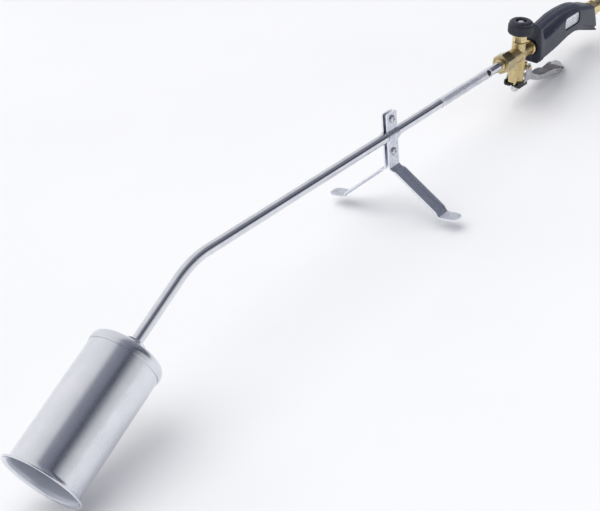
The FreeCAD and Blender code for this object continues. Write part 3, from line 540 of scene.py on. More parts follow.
def piece(name, geometry, where, look, stands_for=(), body=None, sharp=32.0):
    """A piece of the torch: made in a place's axes, riding on a body, standing for CAD nodes."""
    mesh = mesh_of(name, geometry, MM)
    mesh.transform(where)
    mesh.materials.append(FINISHES[look])
    mesh.shade_smooth()
    mesh.set_sharp_from_angle(angle=math.radians(sharp))
    item = bpy.data.objects.new(name, mesh)
    scene.collection.objects.link(item)
    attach(item, body or frame["nodes"][stands_for[0]]["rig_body"])
    if stands_for:
        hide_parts(*stands_for)
    return item


def also(item, where, look, chosen):
    """A second look on the faces for which chosen(place, direction) holds."""
    item.data.materials.append(FINISHES[look])
    back = where.inverted()
    for face in item.data.polygons:
        if chosen((back @ face.center) / MM, back.to_3x3() @ face.normal):
            face.material_index = 1


def dress(node, look):
    """Give a CAD node that stays visible its material."""
    item = frame["nodes"][node]
    item.data.materials.clear()
    item.data.materials.append(FINISHES[look])


# ---- burner ---------------------------------------------------------------------------------


def burner():
    """Bell with a curled rim, pressed cap with its lap ring, and the hub brazed on the lance."""
    low, high = extent("burner_bell", BURNER)
    radius, flare, wall = BELL_RADIUS, BELL_FLARE, SHEET
    mouth = high[0]
    rim = high[1]
    curl = 1.0
    swing = 72
    centre = radius + flare
    start = mouth - flare
    outline = [(low[0], radius - wall), (low[0], radius)]
    outline += arc(start - 0.2, centre, flare, -90, -90 + swing, 12)
    outline += arc(mouth - curl, rim - curl, curl, 100, -90, 8)
    outline += arc(start - 0.2, centre, flare + wall, -90 + swing - 6, -90, 12)
    bell = piece("bell", lathe(dense(outline, 6.0), 160), BURNER, "burner_steel", ["burner_bell"])

    # painted light: the inside faces of the bell take the duller copy of the steel that stands in
    # for light reflected into the mouth
    def inside(at, facing):
        return facing.y * at.y + facing.z * at.z < 0 and at.x < mouth - 1.5

    also(bell, BURNER, "burner_inner_painted_light", inside)

    low, high = extent("burner_cap", BURNER)
    top, seam, outer = low[0], high[0], high[1]
    shoulder = CAP_SHOULDER
    shell = arc(top + shoulder, outer - shoulder, shoulder, 90, 180, 10)
    ring = [(seam, outer - wall), (seam, outer), (seam - 2.2, outer), (seam - 2.5, outer - 0.18)]
    ring += [(seam - 2.8, outer - 0.03)]
    lining = arc(top + shoulder, outer - shoulder, shoulder - wall, 180, 90, 10)
    outline = ring + shell + [(top, SPIGOT_RADIUS), (top + wall, SPIGOT_RADIUS)] + lining
    holes = []
    for k in range(AIR_HOLES):
        turn = Matrix.Rotation(math.radians(360 / AIR_HOLES * k), 4, "X")
        hole = tube(top - 5, top + 10, AIR_HOLE_RADIUS, ease=0.0, steps=32)
        holes.append(moved(hole, turn @ Matrix.Translation((0, 0, AIR_HOLE_RING))))
    cap = carved(lathe(dense(eased(outline, 0.12, 2), 4.0), 160), *holes)
    piece("cap", cap, BURNER, "burner_steel", ["burner_cap"])

    low, high = extent("burner_hub", BURNER)
    start, end = low[0], high[0]
    nut = hex_nut(17.0, start, start + 5.0, TUBE_FIT, 0.9)
    neck = [(start + 4.6, TUBE_FIT), (start + 4.6, 7.4), (start + 6.0, 7.4), (start + 6.2, 9.2)]
    neck += [(start + 7.0, 9.2), (start + 7.0, 6.4), (end, 6.4), (end, TUBE_FIT)]
    braze = [(start - 1.3, 4.78), (start - 0.7, 5.5, 0.8), (start + 0.1, 6.6), (start + 0.1, 4.78)]
    hub = together(nut, lathe(eased(neck, 0.25)), lathe(eased(braze, 0.3)))
    piece("hub", hub, BURNER, "burner_steel", ["burner_hub"])
    for node, look in (
        ("hub_locknut", "fastener_zinc"),
        ("jet_holder", "brass_turned"),
        ("jet", "brass_turned"),
        # the flame disc takes the painted-light copy of the bell steel
        ("flame_disc", "burner_inner_painted_light"),
    ):
        dress(node, look)


# ---- lance ----------------------------------------------------------------------------------


def tube_path(front, rear, radius):
    """Centre line of the lance: straight, one bend, straight; (x, z, direction)."""
    bend = math.radians(BEND_ANGLE)
    tangent = radius * math.tan(bend / 2)
    path = [(rear, 0.0, 0.0)]
    for along in np.arange(rear - 20, tangent, -20):
        path.append((along, 0.0, 0.0))
    for turn in np.linspace(0, bend, 19):
        x = tangent - radius * math.sin(turn)
        z = -radius * (1 - math.cos(turn))
        path.append((x, z, turn))
    for along in np.linspace(tangent, front, 6)[1:]:
        path.append((-along * math.cos(bend), -along * math.sin(bend), bend))
    return path


def lance():
    """Drawn tube, a printed film wrapped round it, and the brass nipple in the union nut."""
    low, high = extent("lance_tube", LANCE)
    radius, bore = high[1], high[1] - TUBE_WALL
    points = []
    path = tube_path(TUBE_FRONT, high[0], BEND_RADIUS)
    steps = 64
    for r in (radius, bore):
        for x, z, turn in path if r == radius else reversed(path):
            # the outside of the bend thins and flattens a little
            flat = 1 - 0.035 * math.sin(math.pi * min(turn / math.radians(BEND_ANGLE), 1.0))
            for k in range(steps):
                angle = math.tau * k / steps
                side, up = r * math.cos(angle), r * flat * math.sin(angle)
                points.append((x - up * math.sin(turn), side, z + up * math.cos(turn)))
    faces = grid_faces(2 * len(path), steps, True, True)
    piece("lance", (points, faces), LANCE, "lance_zinc", ["lance_tube"])

    low, high = extent("lance_label", LANCE)
    film = high[1]
    sweep = 1.0
    lap = math.radians(150)
    columns = 72
    rows = np.concatenate(([low[0]], np.linspace(low[0] + 1, high[0] - 1, 20), [high[0]]))
    points = []
    for r in (film, radius + 0.01):
        for x in rows if r == film else rows[::-1]:
            end = 1.5 if x in (rows[0], rows[-1]) else 0.0
            for angle in np.linspace(-lap + 0.05 * end, lap - 0.05 * end, columns):
                points.append((x, -r * math.sin(angle + sweep), r * math.cos(angle + sweep)))
    wrap = (points, grid_faces(2 * len(rows), columns, True, False))
    sides = [tuple(k * columns for k in range(2 * len(rows)))]
    sides += [tuple(k * columns + columns - 1 for k in reversed(range(2 * len(rows))))]
    piece("label", (wrap[0], wrap[1] + sides), LANCE, "label_film", ["lance_label"])

    def printed(start, end, middle, width):
        """A printed bar on the film, in millimetres along and degrees round."""
        near = []
        for r in (film + 0.02, film - 0.05):
            for x in (start, end) if r > film else (end, start):
                for angle in np.radians(np.linspace(middle - width / 2, middle + width / 2, 7)):
                    near.append((x, -r * math.sin(angle), r * math.cos(angle)))
        faces = grid_faces(4, 7, True, False)
        ends = [tuple(7 * k for k in range(4)), tuple(7 * k + 6 for k in (3, 2, 1, 0))]
        return near, faces + ends

    # bars stand for the printed lines: (start, end, degrees from the top, width in degrees)
    bars = []
    for start, end, middle, width in (
        (6, 30, 38, 11), (33, 52, 38, 11), (55, 70, 38, 11),
        (6, 22, 57, 4), (24, 41, 57, 4), (44, 68, 57, 4),
        (6, 33, 68, 4), (36, 50, 68, 4), (53, 72, 68, 4),
        (6, 18, 79, 4), (21, 46, 79, 4), (49, 64, 79, 4),
        (4, 76, 96, 2),
    ):
        bars.append(printed(low[0] + start, low[0] + end, middle, width))
    piece("label_print", together(*bars), LANCE, "label_print", [], "lance")

    # a round dot, in rings from its middle, so that it follows the film
    dot_at, dot_turn, dot = high[0] - 5.5, math.radians(64), 3.3
    rings, spokes = 6, 28
    out = [(dot * k / rings, film + 0.04) for k in range(rings + 1)]
    points = []
    for reach, r in out + [(reach, film - 0.05) for reach, _ in reversed(out)]:
        for k in range(spokes):
            turn = math.tau * k / spokes
            angle = dot_turn + reach * math.sin(turn) / film
            along = dot_at + reach * math.cos(turn)
            points.append((along, -r * math.sin(angle), r * math.cos(angle)))
    faces = grid_faces(2 * (rings + 1), spokes, False, True)
    piece("label_dot", (points, faces), LANCE, "label_dot", [], "lance")

    low, high = extent("lance_nipple", LANCE)
    collar = high[0] - 6.6
    sleeve = [(low[0], TUBE_FIT), (high[0], TUBE_FIT), (high[0], high[1]), (collar, high[1])]
    sleeve += [(collar, 6.0), (low[0] + 2.4, 6.0), (low[0] + 1.9, 5.6), (low[0] + 1.5, 6.0)]
    sleeve += [(low[0] + 0.5, 6.0, 0.5), (low[0], 5.4)]
    piece("nipple", lathe(eased(sleeve, 0.15, 2)), LANCE, "brass_turned", ["lance_nipple"])


# ---- stand ----------------------------------------------------------------------------------


def strip_route(side):
    """Middle line of a bent strip in the stand's YZ plane, top to foot, and its knees."""
    offset = STRIP_GAP + STRIP_WALL / 2
    saddle = 5.6
    splay = math.radians(LEG_SPLAY)
    inner = STRIP_GAP + LEG_LENGTH * math.sin(splay)
    knee = (inner + 0.26, -LEG_BEND - LEG_LENGTH * math.cos(splay) + 0.75)
    meet = math.degrees(math.acos(offset / saddle))
    corners = [(offset, STRIP_TOP), (offset, saddle * math.sin(math.radians(meet)) + 0.5, 1.2)]
    corners += [(*p, 0.0) for p in arc(0, 0, saddle, meet - 6, 6 - meet, 18)]
    corners += [(offset, -saddle * math.sin(math.radians(meet)) - 0.5, 1.2)]
    corners += [(offset, 0.37 - LEG_BEND, 3.2), (*knee, 3.2), (inner + FOOT_LENGTH, knee[1])]
    path = dense(eased(corners, 0.0, 8, closed=False), 0.9, closed=False)
    return [(side * y, z) for y, z in path]


def strip(side):
    """A pressed strip: flat clamp plate, saddle, flanged leg, beads, rounded dimpled foot."""
    path = np.array(strip_route(side))
    step = np.linalg.norm(np.diff(path, axis=0), axis=1)
    run = np.concatenate(([0.0], np.cumsum(step)))
    tangent = np.gradient(path, run, axis=0)
    tangent /= np.linalg.norm(tangent, axis=1)[:, None]
    normal = np.stack((-tangent[:, 1], tangent[:, 0]), axis=1) * side
    half, wall = STRIP_WIDTH / 2, STRIP_WALL
    top_corner, foot_corner = 1.2, 6.2
    flange, dimple, bead = 1.7, 0.8, 0.35
    total = run[-1]
    leg_start = run[np.argmin(np.abs(path[:, 1] + LEG_BEND + 0.5))]
    foot_start = total - 18.5
    leg_runs = [0, leg_start + 1, leg_start + 6, foot_start - 5, foot_start, total + 1]
    foot_runs = [0, foot_start + 2, foot_start + 6, total - 2.5, total, total + 1]
    shares = [0, 0, 1, 1, 0, 0]
    columns = 41
    points = []
    for outside in (True, False):
        for i in range(len(path)) if outside else reversed(range(len(path))):
            width = half
            for corner, reach in ((foot_corner, total - run[i]), (top_corner, run[i])):
                if reach < corner:
                    width -= corner - math.sqrt(max(corner**2 - (corner - reach) ** 2, 0.1))
            in_leg = smooth(run[i], leg_runs, shares)
            in_foot = smooth(run[i], foot_runs, shares)
            for share in np.linspace(-1, 1, columns):
                across = share * width
                edge = min(1.0, max(0.0, (abs(share) - 0.78) / 0.16))
                rise = flange * in_leg * edge**2 * (3 - 2 * edge)
                hollow = math.exp(-((across / 2.8) ** 4) - ((run[i] - total + 8.5) / 4.5) ** 4)
                rise -= dimple * in_foot * hollow
                for middle in (-3.6, 3.6):
                    near = ((across - middle) / 1.0) ** 2 + ((run[i] - leg_start - 0.5) / 1.4) ** 2
                    rise += bead * math.exp(-near)
                y, z = path[i] + normal[i] * (rise + (wall / 2 if outside else -wall / 2))
                points.append((across, y, z))
    rows = 2 * len(path)
    faces = grid_faces(rows, columns, True, False)
    # the sides: each level of the outside meets the same level of the inside
    for j in (0, columns - 1):
        for i in range(len(path) - 1):
            a, b = i * columns + j, (i + 1) * columns + j
            c, d = (rows - 2 - i) * columns + j, (rows - 1 - i) * columns + j
            faces.append((a, b, c, d))
    return points, faces


def stand():
    """Two strips clamped round the lance by two screws."""
    for name, side in (("near", -1), ("far", 1)):
        leg = "stand_leg_" + name
        piece("stand_" + name, strip(side), STAND, "stand_zinc", [leg], sharp=40)

    low, high = extent("clamp_screws", STAND)
    head_face, tip = low[1], high[1]
    plate_face = -3.0
    screws, nuts = [], []
    for height in SCREW_HEIGHTS:
        head = [(head_face, 0), (head_face, 2.2, 1.0), (head_face + 0.9, 3.6, 0.8)]
        head += [(plate_face, 3.7), (plate_face, SCREW_RADIUS), (tip - 0.6, SCREW_RADIUS)]
        head += [(tip, 1.4), (tip, 0)]
        body = lathe(eased(head, 0.2, 4), 48)
        slot_a = rounded_box((head_face - 1, -2.1, -0.42), (head_face + 1.3, 2.1, 0.42), 0.05)
        slot_b = rounded_box((head_face - 1, -0.42, -2.1), (head_face + 1.3, 0.42, 2.1), 0.05)
        turn = Matrix.Rotation(math.radians(20 + height), 4, "X")
        body = carved(body, moved(slot_a, turn), moved(slot_b, turn))
        screws.append(along_y(body, 0, height))
        nuts.append(along_y(hex_nut(7.0, 3.0, 6.2, 2.02, 0.5, math.radians(height)), 0, height))
    piece("clamp_screws", together(*screws), STAND, "fastener_zinc", ["clamp_screws"])
    piece("clamp_nuts", together(*nuts), STAND, "fastener_zinc", ["clamp_nuts"])


# ---- valve ----------------------------------------------------------------------------------


def valve():
    """Brass forging with its union nut, gland nut, chamber plug and the seal ring."""
    chamber = arc(0, 0, CHAMBER_ACROSS / 2 / math.cos(math.pi / 6), 30, 330, 5)
    forging = together(
        tube(-20.8, 3.0, 8.2),
        tube(-2.0, 40.0, REAR_BOSS_RADIUS),
        lathe(eased([(2, 0), (2, 8.2), (12, 6.6), (12, 0)]), 72),
        along_z(tube(-4.0, 14.0, 7.2)),
        along_z(tube(11.2, 13.6, 7.25)),
        prism(eased(chamber, 0.5), -29.6, 2.0, "z"),
        rounded_box((2.0, -6.4, -18.9), (12.4, 6.4, -10.6), 0.8),
    )
    forging = cast(forging, 0.42, 5)
    hole = along_y(tube(-20, 20, PIN_RADIUS + 0.02, steps=24), *PIN)
    well = along_z(tube(-40, -28.0, PLUG_RADIUS, steps=48))
    piece("valve_body", carved(forging, hole, well), VALVE, "brass", ["valve_body"], sharp=50)

    low, high = extent("union_nut", VALVE)
    nut = hex_nut(18.5, low[0], high[0], 6.15, 1.5)
    mouth = lathe([(low[0] - 1, 0), (low[0] + 0.9, 0), (low[0] + 0.9, 7.3), (low[0] - 1, 8.1)], 72)
    piece("union_nut", carved(nut, mouth), VALVE, "brass_nut", ["union_nut"])

    low, high = extent("gland_nut", VALVE)
    nut = hex_nut(12.8, 14.2, high[2], 3.1, 0.7, math.radians(12))
    piece("gland_nut", along_z(nut), VALVE, "brass_turned", ["gland_nut"])

    low, high = extent("chamber_plug", VALVE)
    plug = tube(low[2], high[2], PLUG_RADIUS, 2.06, 0.25)
    piece("chamber_plug", along_z(plug), VALVE, "brass_turned", ["chamber_plug"])
    for node, look in (
        ("stem_seal", "seal_rubber"),
        ("seat_disc", "seal_rubber"),
        ("spindle_seal", "seal_rubber"),
        ("return_spring", "spring_steel"),
        ("needle", "brass_turned"),
        ("spindle", "brass_turned"),
        ("trigger_stem", "brass_turned"),
    ):
        dress(node, look)


def knob():
    """Regulating knob: fine ribs round its side, a stepped crown, a screw in its recess."""
    low, high = extent("knob", VALVE)
    bottom, top, radius = low[2], high[2], high[1]
    crown = 11.9
    ribs = 60
    outline = [
        (bottom + 3, 3.05), (bottom + 3, 8.3), (bottom, 8.3), (bottom, radius - 1.4, 0.8),
        (bottom + 1.8, radius, 0.8), (top - 4.6, radius, 0.6), (top - 3.8, crown, 0.2),
        (top - 3.5, crown, 0.2), (top - 3.1, crown + 0.35, 0.3), (top - 1.5, crown + 0.1, 0.9),
        (top, crown - 1.9, 0.9), (top, 9.1), (top - 0.35, 8.85), (top - 0.35, 8.2), (top, 7.95),
        (top, 6.0, 0.5), (top - 3.4, 5.6), (top - 3.4, 3.05),
    ]

    def shape(angle, along, r):
        if r > radius - 0.7 and bottom + 1.5 < along < top - 4.2:
            return r - 0.28 * (0.5 + 0.5 * math.cos(ribs * angle)) ** 2
        return r

    body = lathe(dense(eased(outline, 0.2, 4), 1.5), ribs * 8, shape)
    piece("knob", along_z(body), VALVE, "knob_plastic", ["knob"], sharp=40)
    low, high = extent("knob_screw", VALVE)
    head = high[2] - 2.4
    outline = [(head - 5, 0), (head - 5, 1.5), (head, 1.5), (head, 3.9), (head + 1.3, 3.9, 0.3)]
    outline += [(head + 2.4, 2.6, 0.8), (head + 2.4, 0)]
    slot = rounded_box((head + 1.5, -4, -0.4), (head + 4, 4, 0.4), 0.05)
    screw = carved(lathe(eased(outline, 0.2), 48), moved(slot, Matrix.Rotation(0.6, 4, "X")))
    piece("knob_screw", along_z(screw), VALVE, "fastener_zinc", ["knob_screw"])


# ---- lever ----------------------------------------------------------------------------------

# Underside of the lever's arm, front to rear, with shallow hollows for the fingers.
FINGERS = [
    (12, -29.6), (19, -32.2), (31, -37.0), (45, -40.2), (55, -43.2), (64, -42.6), (73, -43.8),
    (82, -46.6), (91, -45.6), (99, -46.0), (107.5, -48.6),
]


def lever():
    """Cast channel-section lever with the black fork between its cheeks, and its pin."""
    under = eased(FINGERS, 6.0, 4, closed=False)
    back = [(110.6, -45.4), (109.2, -43.9), (105, -45.2), (98, -43.2), (85, -41.6), (72, -38.0)]
    back += [(62, -36.6), (50, -35.6), (37, -33.4, 4), (17, -24.5, 3), (12.2, -14.5, 2)]
    ear = arc(*PIN, 4.2, 0, 180, 12)
    front = [(2.5, -23.0, 3), (0.0, -27.4, 1.2), (-1.0, -30.0, 0.8), (4, -29.4)]
    side = under + eased(back, 2.0, 3, closed=False) + ear + eased(front, 0.8, 3, closed=False)
    solid = prism(dense(side, 2.0), -CHEEK_OUTER, CHEEK_OUTER)
    floor = [(x, z + 1.3) for x, z in reversed(FINGERS[1:-1])]
    trough = [(-14, -5), (120, -5), (112, -41), (105, -44.9), *floor, (14.5, -29.5), (14.5, -55)]
    trough += [(-14, -55)]
    # seen from above, the arm narrows to a tongue turned to the far side
    near_end = [(45, -14), (45, -10.9), (97, -9.4, 4), (102.5, -5.5, 4), (107, -0.5), (110.2, 3.5)]
    near_end += [(114, 3.5), (114, -14)]
    far_end = [(45, 14), (45, 10.9), (104, 10.0, 4), (109, 8.4, 3), (110.2, 3.5), (114, 3.5)]
    far_end += [(114, 14)]
    lip = [(x, z + 2.1) for x, z in FINGERS[2:-2]]
    above_far_wall = [(25, -20), (25, -31.5), *lip, (96, -42.4), (100, -20)]
    shell = carved(
        solid,
        prism(trough, -9.6, 9.2),
        prism(above_far_wall, 5.0, 14.0),
        prism(eased(near_end, 1.0, 3), -60, 0, "z"),
        prism(eased(far_end, 1.0, 3), -60, 0, "z"),
    )
    shell = cast(shell, 0.4, 3)
    hole = along_y(tube(-20, 20, PIN_RADIUS + 0.1, steps=24), *PIN)
    item = piece("lever", carved(shell, hole), VALVE, "lever_steel", ["lever"], sharp=50)

    # painted shade: upward faces on the floor of the trough take the darker copy of the lever steel
    # in place of the shadow between its walls
    def painted_shade_in_trough(at, facing):
        if not (19 < at.x < 98 and -9.4 < at.y < 8.6 and facing.z > 0.25):
            return False
        return at.z < smooth(at.x, *zip(*FINGERS)) + 2.6

    also(item, VALVE, "lever_painted_shade", painted_shade_in_trough)

    low, high = extent("lever_shoe", VALVE)
    front, rear = low[0], high[0]
    plate = rounded_box((front, low[1] + 0.2, low[2]), (rear, high[1] - 0.2, high[2]), 0.8)
    wings = []
    for middle in (-8.2, 8.2):
        corner = (front - 1, middle - 0.9, high[2] - 0.5)
        wings.append(rounded_box(corner, (rear - 1, middle + 0.9, -28.2)))
    gap = rounded_box((front - 4, -2.6, low[2] - 2), (7.0, 2.6, high[2] + 2), 2.4)
    fork = together(carved(plate, gap), *wings)
    piece("lever_fork", fork, VALVE, "fork_black", ["lever_shoe"])

    low, high = extent("lever_pin", VALVE)
    neck = low[1] + 0.9
    outline = [(low[1], 0), (low[1], 2.0, 0.6), (neck, 2.3, 0.3), (neck, PIN_RADIUS)]
    outline += [(high[1] - 0.4, PIN_RADIUS), (high[1], 1.1), (high[1], 0)]
    pin = along_y(lathe(eased(outline, 0.15), 40), *PIN)
    piece("lever_pin", pin, VALVE, "brass_turned", ["lever_pin"])

    low, high = extent("stem_nut", VALVE)
    nut = along_z(hex_nut(7.6, low[2], high[2], 2.02, 0.6, math.radians(8)))
    tip = along_z(tube(low[2] - 1.5, low[2] + 1, 1.98, 0.0, 0.4, 32))
    piece("stem_nut", together(nut, tip), VALVE, "fastener_zinc", ["stem_nut"])


# ---- grip -----------------------------------------------------------------------------------

# Stations along the grip: place, underside, top edge of the flat side, crown, half width of the
# flat side, half width of the spine above it, height of the rounding under the side, depth of
# the band along the foot of the side, depth of the valley beside the spine.
GRIP = np.array([
    (26.3, -18.8, 23.5, 28.0, 13.0, 11.4, 8.0, 0.0, 0.0),
    (30.2, -18.6, 23.3, 27.8, 13.0, 11.2, 8.0, 0.0, 0.0),
    (31.8, -17.6, 18.5, 24.6, 12.9, 9.4, 5.0, 0.0, 0.3),
    (34.0, -16.0, 11.4, 21.0, 12.7, 7.9, 3.8, 0.0, 0.9),
    (37.5, -15.0, 8.6, 20.4, 12.6, 7.3, 3.2, 0.0, 1.2),
    (46.0, -14.2, 9.2, 22.2, 12.6, 7.2, 3.0, 0.0, 1.3),
    (56.0, -13.2, 11.0, 23.8, 12.6, 7.4, 3.0, 0.0, 1.2),
    (68.0, -11.6, 13.8, 25.2, 12.5, 7.8, 3.0, 0.0, 0.8),
    (81.0, -9.4, 16.4, 25.4, 12.5, 8.0, 3.0, 0.0, 0.4),
    (95.0, -7.3, 17.6, 24.9, 12.4, 8.2, 3.0, 0.0, 0.1),
    (108.0, -6.8, 17.6, 23.6, 12.4, 8.5, 3.0, 0.0, 0.0),
    (120.0, -8.9, 16.2, 21.8, 12.5, 8.8, 2.8, 0.3, 0.0),
    (132.0, -13.2, 14.0, 18.8, 12.7, 9.2, 2.2, 1.1, 0.0),
    (145.0, -18.2, 11.4, 15.0, 13.0, 9.6, 1.8, 1.6, 0.0),
    (158.0, -22.4, 8.8, 11.4, 13.3, 10.0, 1.6, 1.8, 0.0),
    (168.0, -25.8, 6.6, 8.8, 13.6, 10.2, 1.6, 1.8, 0.0),
])
FRONT_LEAN = -0.2257
REAR_LEAN = -0.43
FRONT_AT = 26.3
REAR_AT = 155.0


def grip_ring(along, side, inset):
    """Half a cross-section, from the seam on top, round the side, to the seam below."""
    values = [float(smooth(along, GRIP[:, 0], GRIP[:, k])) for k in range(1, 9)]
    under, shoulder, crown, half, spine, bevel, band, dip = values
    leans = [FRONT_LEAN, FRONT_LEAN, 0, 0, REAR_LEAN, REAR_LEAN]
    lean = float(smooth(along, [0, 30, 52, 105, 150, 200], leans))
    room = crown - shoulder
    valley = shoulder + 0.30 * room
    pinch = 0.10 * min(room, 8.0)
    tuck = 2.2 + 0.55 * (bevel - 3.0)
    corners = [
        (0.0, crown - 0.45),
        (0.40, crown - 0.02),
        (0.50 * spine, crown - 0.45),
        (0.82 * spine, crown - min(1.8, 0.32 * room)),
        (0.97 * spine, crown - min(3.6, 0.5 * room)),
        (spine - 0.5 * pinch, shoulder + 0.48 * room),
        (spine + 0.05 * (half - spine) - pinch - 0.4 * dip, valley - 1.5 * dip),
        (spine + 0.45 * (half - spine), shoulder + 0.07 * room - 0.9 * dip),
        (half - 1.1, shoulder - 0.35),
        (half - 0.15, shoulder - 1.6),
        (half + 0.15, shoulder - 0.35 * (shoulder - under)),
        (half + 0.1, under + bevel + 6.0),
        (half - 0.05 - band, under + bevel + 3.4),
        (half - 0.1 - band, under + bevel + 1.2),
        (half - 0.3, under + bevel - 0.6),
        (half - tuck + 0.6, under + 0.9),
        (half - tuck - 1.6, under + 0.05),
        (0.40, under),
        (0.0, under + 0.45),
    ]
    middle = (crown + under) / 2
    corners = [(y * (1 - inset / half), middle + (z - middle) * (1 - 2 * inset / (crown - under)))
               for y, z in corners]
    curve = [corners[0]]
    for k in range(1, len(corners) - 2):
        a, b, c, d = (np.array(corners[k + n]) for n in (-1, 0, 1, 2))
        for share in np.linspace(0, 1, 7)[:-1]:
            curve.append(tuple(
                0.5 * (2 * b + (c - a) * share + (2 * a - 5 * b + 4 * c - d) * share**2
                       + (3 * b - a - 3 * c + d) * share**3)
            ))
    curve += corners[-2:]
    return [(along + lean * z, side * y, z) for y, z in curve]


def grip_half(side):
    rounding = [(0.0, 0.9), (0.25, 0.35), (0.9, 0.0)]
    stations = [(FRONT_AT + step, inset) for step, inset in rounding]
    stations += [(x, 0.0) for x in np.arange(FRONT_AT + 1.6, 40, 0.7)]
    stations += [(x, 0.0) for x in np.arange(40, REAR_AT - 2, 1.6)]
    stations += [(REAR_AT - step, inset) for step, inset in reversed(rounding)]
    rings = [grip_ring(x, side, inset) for x, inset in stations]
    columns = len(rings[0])
    points = [p for one in rings for p in one]
    faces = grid_faces(len(rings), columns, False, True)
    faces += [tuple(range(columns)), tuple(range(len(points) - 1, len(points) - columns - 1, -1))]
    return points, faces


def plate_outline(play):
    low, high = extent("grip_plate", VALVE)
    x0, z0, x1, z1 = low[0] - play, low[2] - play, high[0] + play, high[2] + play
    return eased([(x0, z0), (x1, z0), (x1, z1), (x0, z1)], 5.8, 8)


def grip():
    """Two moulded halves with a let-in plate, a recess for the lock nut, screws at the back."""
    recess = tube(15.0, 30.5, 9.7, ease=0.2)
    rear = tube(150.0, 175.0, 6.2, ease=0.2)
    low, high = extent("grip_plate", VALVE)
    plate_y = low[1]
    pocket = prism(plate_outline(1.1), -20.0, high[1])
    near = carved(grip_half(-1), recess, rear, pocket)
    low, high = extent("shell_screws", VALVE)
    head = 3.0
    seat = high[1] - 1.6
    wells = []
    for along, up in ((low[0] + head, low[2] + head), (high[0] - head, 10.0), (90.0, 11.0)):
        wells.append(along_y(tube(seat, seat + 12, head + 0.35, ease=0.1, steps=40), along, up))
    far = carved(grip_half(1), recess, rear, *wells)
    piece("grip_near", near, VALVE, "grip_plastic", ["grip_shell_near"], sharp=38)
    piece("grip_far", far, VALVE, "grip_plastic", ["grip_shell_far"], sharp=38)
    plate = changed(
        prism(plate_outline(0.0), plate_y + 0.02, high[1]),
        [("BEVEL", {"width": 0.2, "segments": 3, "limit_method": "ANGLE"})],
    )
    piece("grip_plate", plate, VALVE, "plate_aluminium", ["grip_plate"])
    lines = []
    for k, (start, end) in enumerate(((0.18, 0.80), (0.14, 0.86), (0.2, 0.7), (0.16, 0.78))):
        z = high[2] - 2.6 - 2.2 * k
        x0 = low[0] + start * (high[0] - low[0])
        x1 = low[0] + end * (high[0] - low[0])
        lines.append(prism([(x0, z - 0.35), (x1, z - 0.35), (x1, z + 0.35), (x0, z + 0.35)],
                           plate_y - 0.02, plate_y + 0.1))
    piece("plate_print", together(*lines), VALVE, "plate_print", [], "handle")

    low, high = extent("grip_locknut", VALVE)
    ring = [(low[0], 5.85), (low[0], high[1] - 1.0, 0.4), (low[0] + 0.9, high[1], 0.4)]
    ring += [(high[0], high[1]), (high[0], 5.85)]
    piece("grip_locknut", lathe(eased(ring, 0.2), 96), VALVE, "brass_turned", ["grip_locknut"])
    dress("inlet_tube", "brass_turned")
    dress("shell_screws", "fastener_zinc")

    low, high = extent("hose_connector", VALVE)
    hex_end = low[0] + 8.6
    nut = hex_nut(17.0, low[0], hex_end, 4.0, 0.9)
    pitch = 1.337
    depth = 0.8
    outer = high[1] if high[1] < 8.4 else 8.3
    root = outer - depth
    outline = [(hex_end - 0.5, 4.0), (high[0], 4.0), (high[0], outer - 1.1)]
    outline += [(high[0] - 1.0, outer), (hex_end + 1.6, outer), (hex_end + 1.2, root)]
    outline += [(hex_end - 0.5, root)]

    def threaded(angle, along, radius):
        if radius < outer - 0.15 or along < hex_end + 1.5:
            return radius
        phase = (along / pitch - angle / math.tau) % 1.0
        return radius - depth * abs(2 * phase - 1)

    thread = lathe(dense(eased(outline, 0.1, 2), pitch / 8), 72, threaded)
    connector = together(nut, thread)
    piece("hose_connector", connector, VALVE, "brass_turned", ["hose_connector"], sharp=45)


burner()
lance()
stand()
valve()
knob()
lever()
grip()

# ---- floor, light and camera ----------------------------------------------------------------


def floor():
    """A plain pale floor with the faintest unevenness."""
    mesh = bpy.data.meshes.new("floor")
    reach = 12.0
    corners = [(x * reach, y * reach, 0) for x, y in ((-1, -1), (1, -1), (1, 1), (-1, 1))]
    mesh.from_pydata(corners, [], [(0, 1, 2, 3)])
    item = bpy.data.objects.new("floor", mesh)
    scene.collection.objects.link(item)
    made = finish(
        "floor_pale", colour=(0.90, 0.90, 0.905), shade=(0.88, 0.88, 0.885), metallic=0.0,
        rough=(0.75, 0.9), mottle=300, grain=3.0, bump=0.02,
    )
    mesh.materials.append(made)


def light(name, at, towards, power, size=None):
    """A soft box of a size in metres, or without one a wide, soft sun."""
    data = bpy.data.lights.new(name, "AREA" if size else "SUN")
    data.energy = power
    if size:
        data.shape = "RECTANGLE"
        data.size, data.size_y = size
    else:
        data.angle = 1.1
    item = bpy.data.objects.new(name, data)
    scene.collection.objects.link(item)
    item.location = at
    item.visible_glossy = False
    item.rotation_mode = "QUATERNION"
    item.rotation_quaternion = (Vector(towards) - Vector(at)).to_track_quat("-Z", "Y")


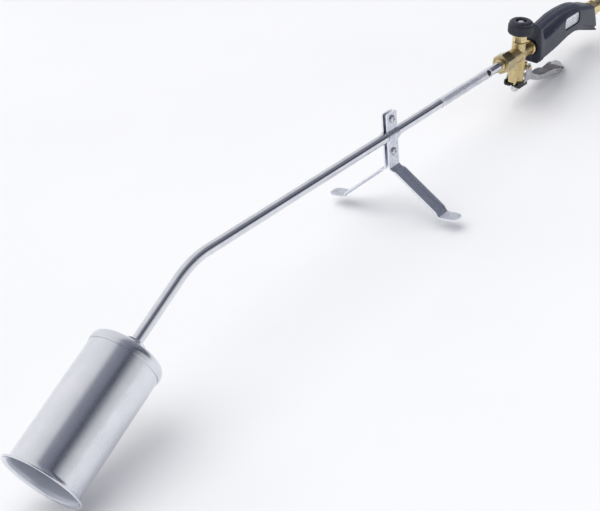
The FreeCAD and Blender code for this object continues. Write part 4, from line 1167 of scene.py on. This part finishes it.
def studio():
    """Soft boxes overhead and behind, and a room that is dark low down on the camera's side."""
    world = bpy.data.worlds.new("studio")
    world.use_nodes = True
    tree = world.node_tree
    coordinates = tree.nodes.new("ShaderNodeTexCoord")
    facing = tree.nodes.new("ShaderNodeVectorMath")
    facing.operation = "DOT_PRODUCT"
    facing.inputs[1].default_value = (0.0, 0.95, 0.31)
    spread = tree.nodes.new("ShaderNodeMapRange")
    spread.inputs["From Min"].default_value = -1.0
    ramp = tree.nodes.new("ShaderNodeValToRGB")
    tree.links.new(coordinates.outputs["Generated"], facing.inputs[0])
    tree.links.new(facing.outputs["Value"], spread.inputs["Value"])
    tree.links.new(spread.outputs["Result"], ramp.inputs[0])
    # from the horizon on the camera's side, over the top, to the horizon behind
    stops = ramp.color_ramp.elements
    for position, colour in (
        (0.10, (0.66, 0.66, 0.67)),
        (0.17, (0.32, 0.33, 0.355)),
        (0.24, (0.055, 0.058, 0.085)),
        (0.30, (0.065, 0.07, 0.10)),
        (0.36, (0.20, 0.21, 0.26)),
        (0.60, (0.27, 0.28, 0.325)),
        (0.67, (0.72, 0.72, 0.73)),
    ):
        stops.new(position).color = (*colour, 1)
    stops[0].color = (0.85, 0.85, 0.86, 1)
    stops[-1].color = (0.95, 0.95, 0.955, 1)
    background = tree.nodes["Background"]
    background.inputs["Strength"].default_value = 1.0
    tree.links.new(ramp.outputs[0], background.inputs["Color"])
    scene.world = world
    light("sky", (-0.4, 0.3, 1.5), (0, 0, 0), 1.3)
    light("key", (-0.9, -0.6, 1.7), (-0.1, 0, 0), 5, (1.4, 1.0))
    light("fill", (0.9, -1.3, 1.1), (0.1, 0, 0), 3, (0.9, 0.9))
    light("back", (0.2, 1.6, 1.0), (0, 0, 0), 3, (1.6, 0.7))


def camera():
    """The view from the burner's side, above the lance, slightly rolled."""
    at = Vector((-694.3, -663.4, 472.2)) * MM
    right = Vector((0.5903, -0.8029, -0.0830))
    up = Vector((0.4047, 0.2055, 0.8911))
    matrix = Matrix((right, up, right.cross(up))).transposed().to_4x4()
    matrix.translation = at
    data = bpy.data.cameras.new("camera")
    data.lens = 83.0
    data.sensor_width = 36.0
    data.clip_start, data.clip_end = 0.05, 60.0
    item = bpy.data.objects.new("camera", data)
    scene.collection.objects.link(item)
    item.matrix_world = LANCE @ matrix
    scene.camera = item


floor()
studio()
camera()
scene.view_settings.view_transform = "Standard"

bpy.context.view_layer.update()
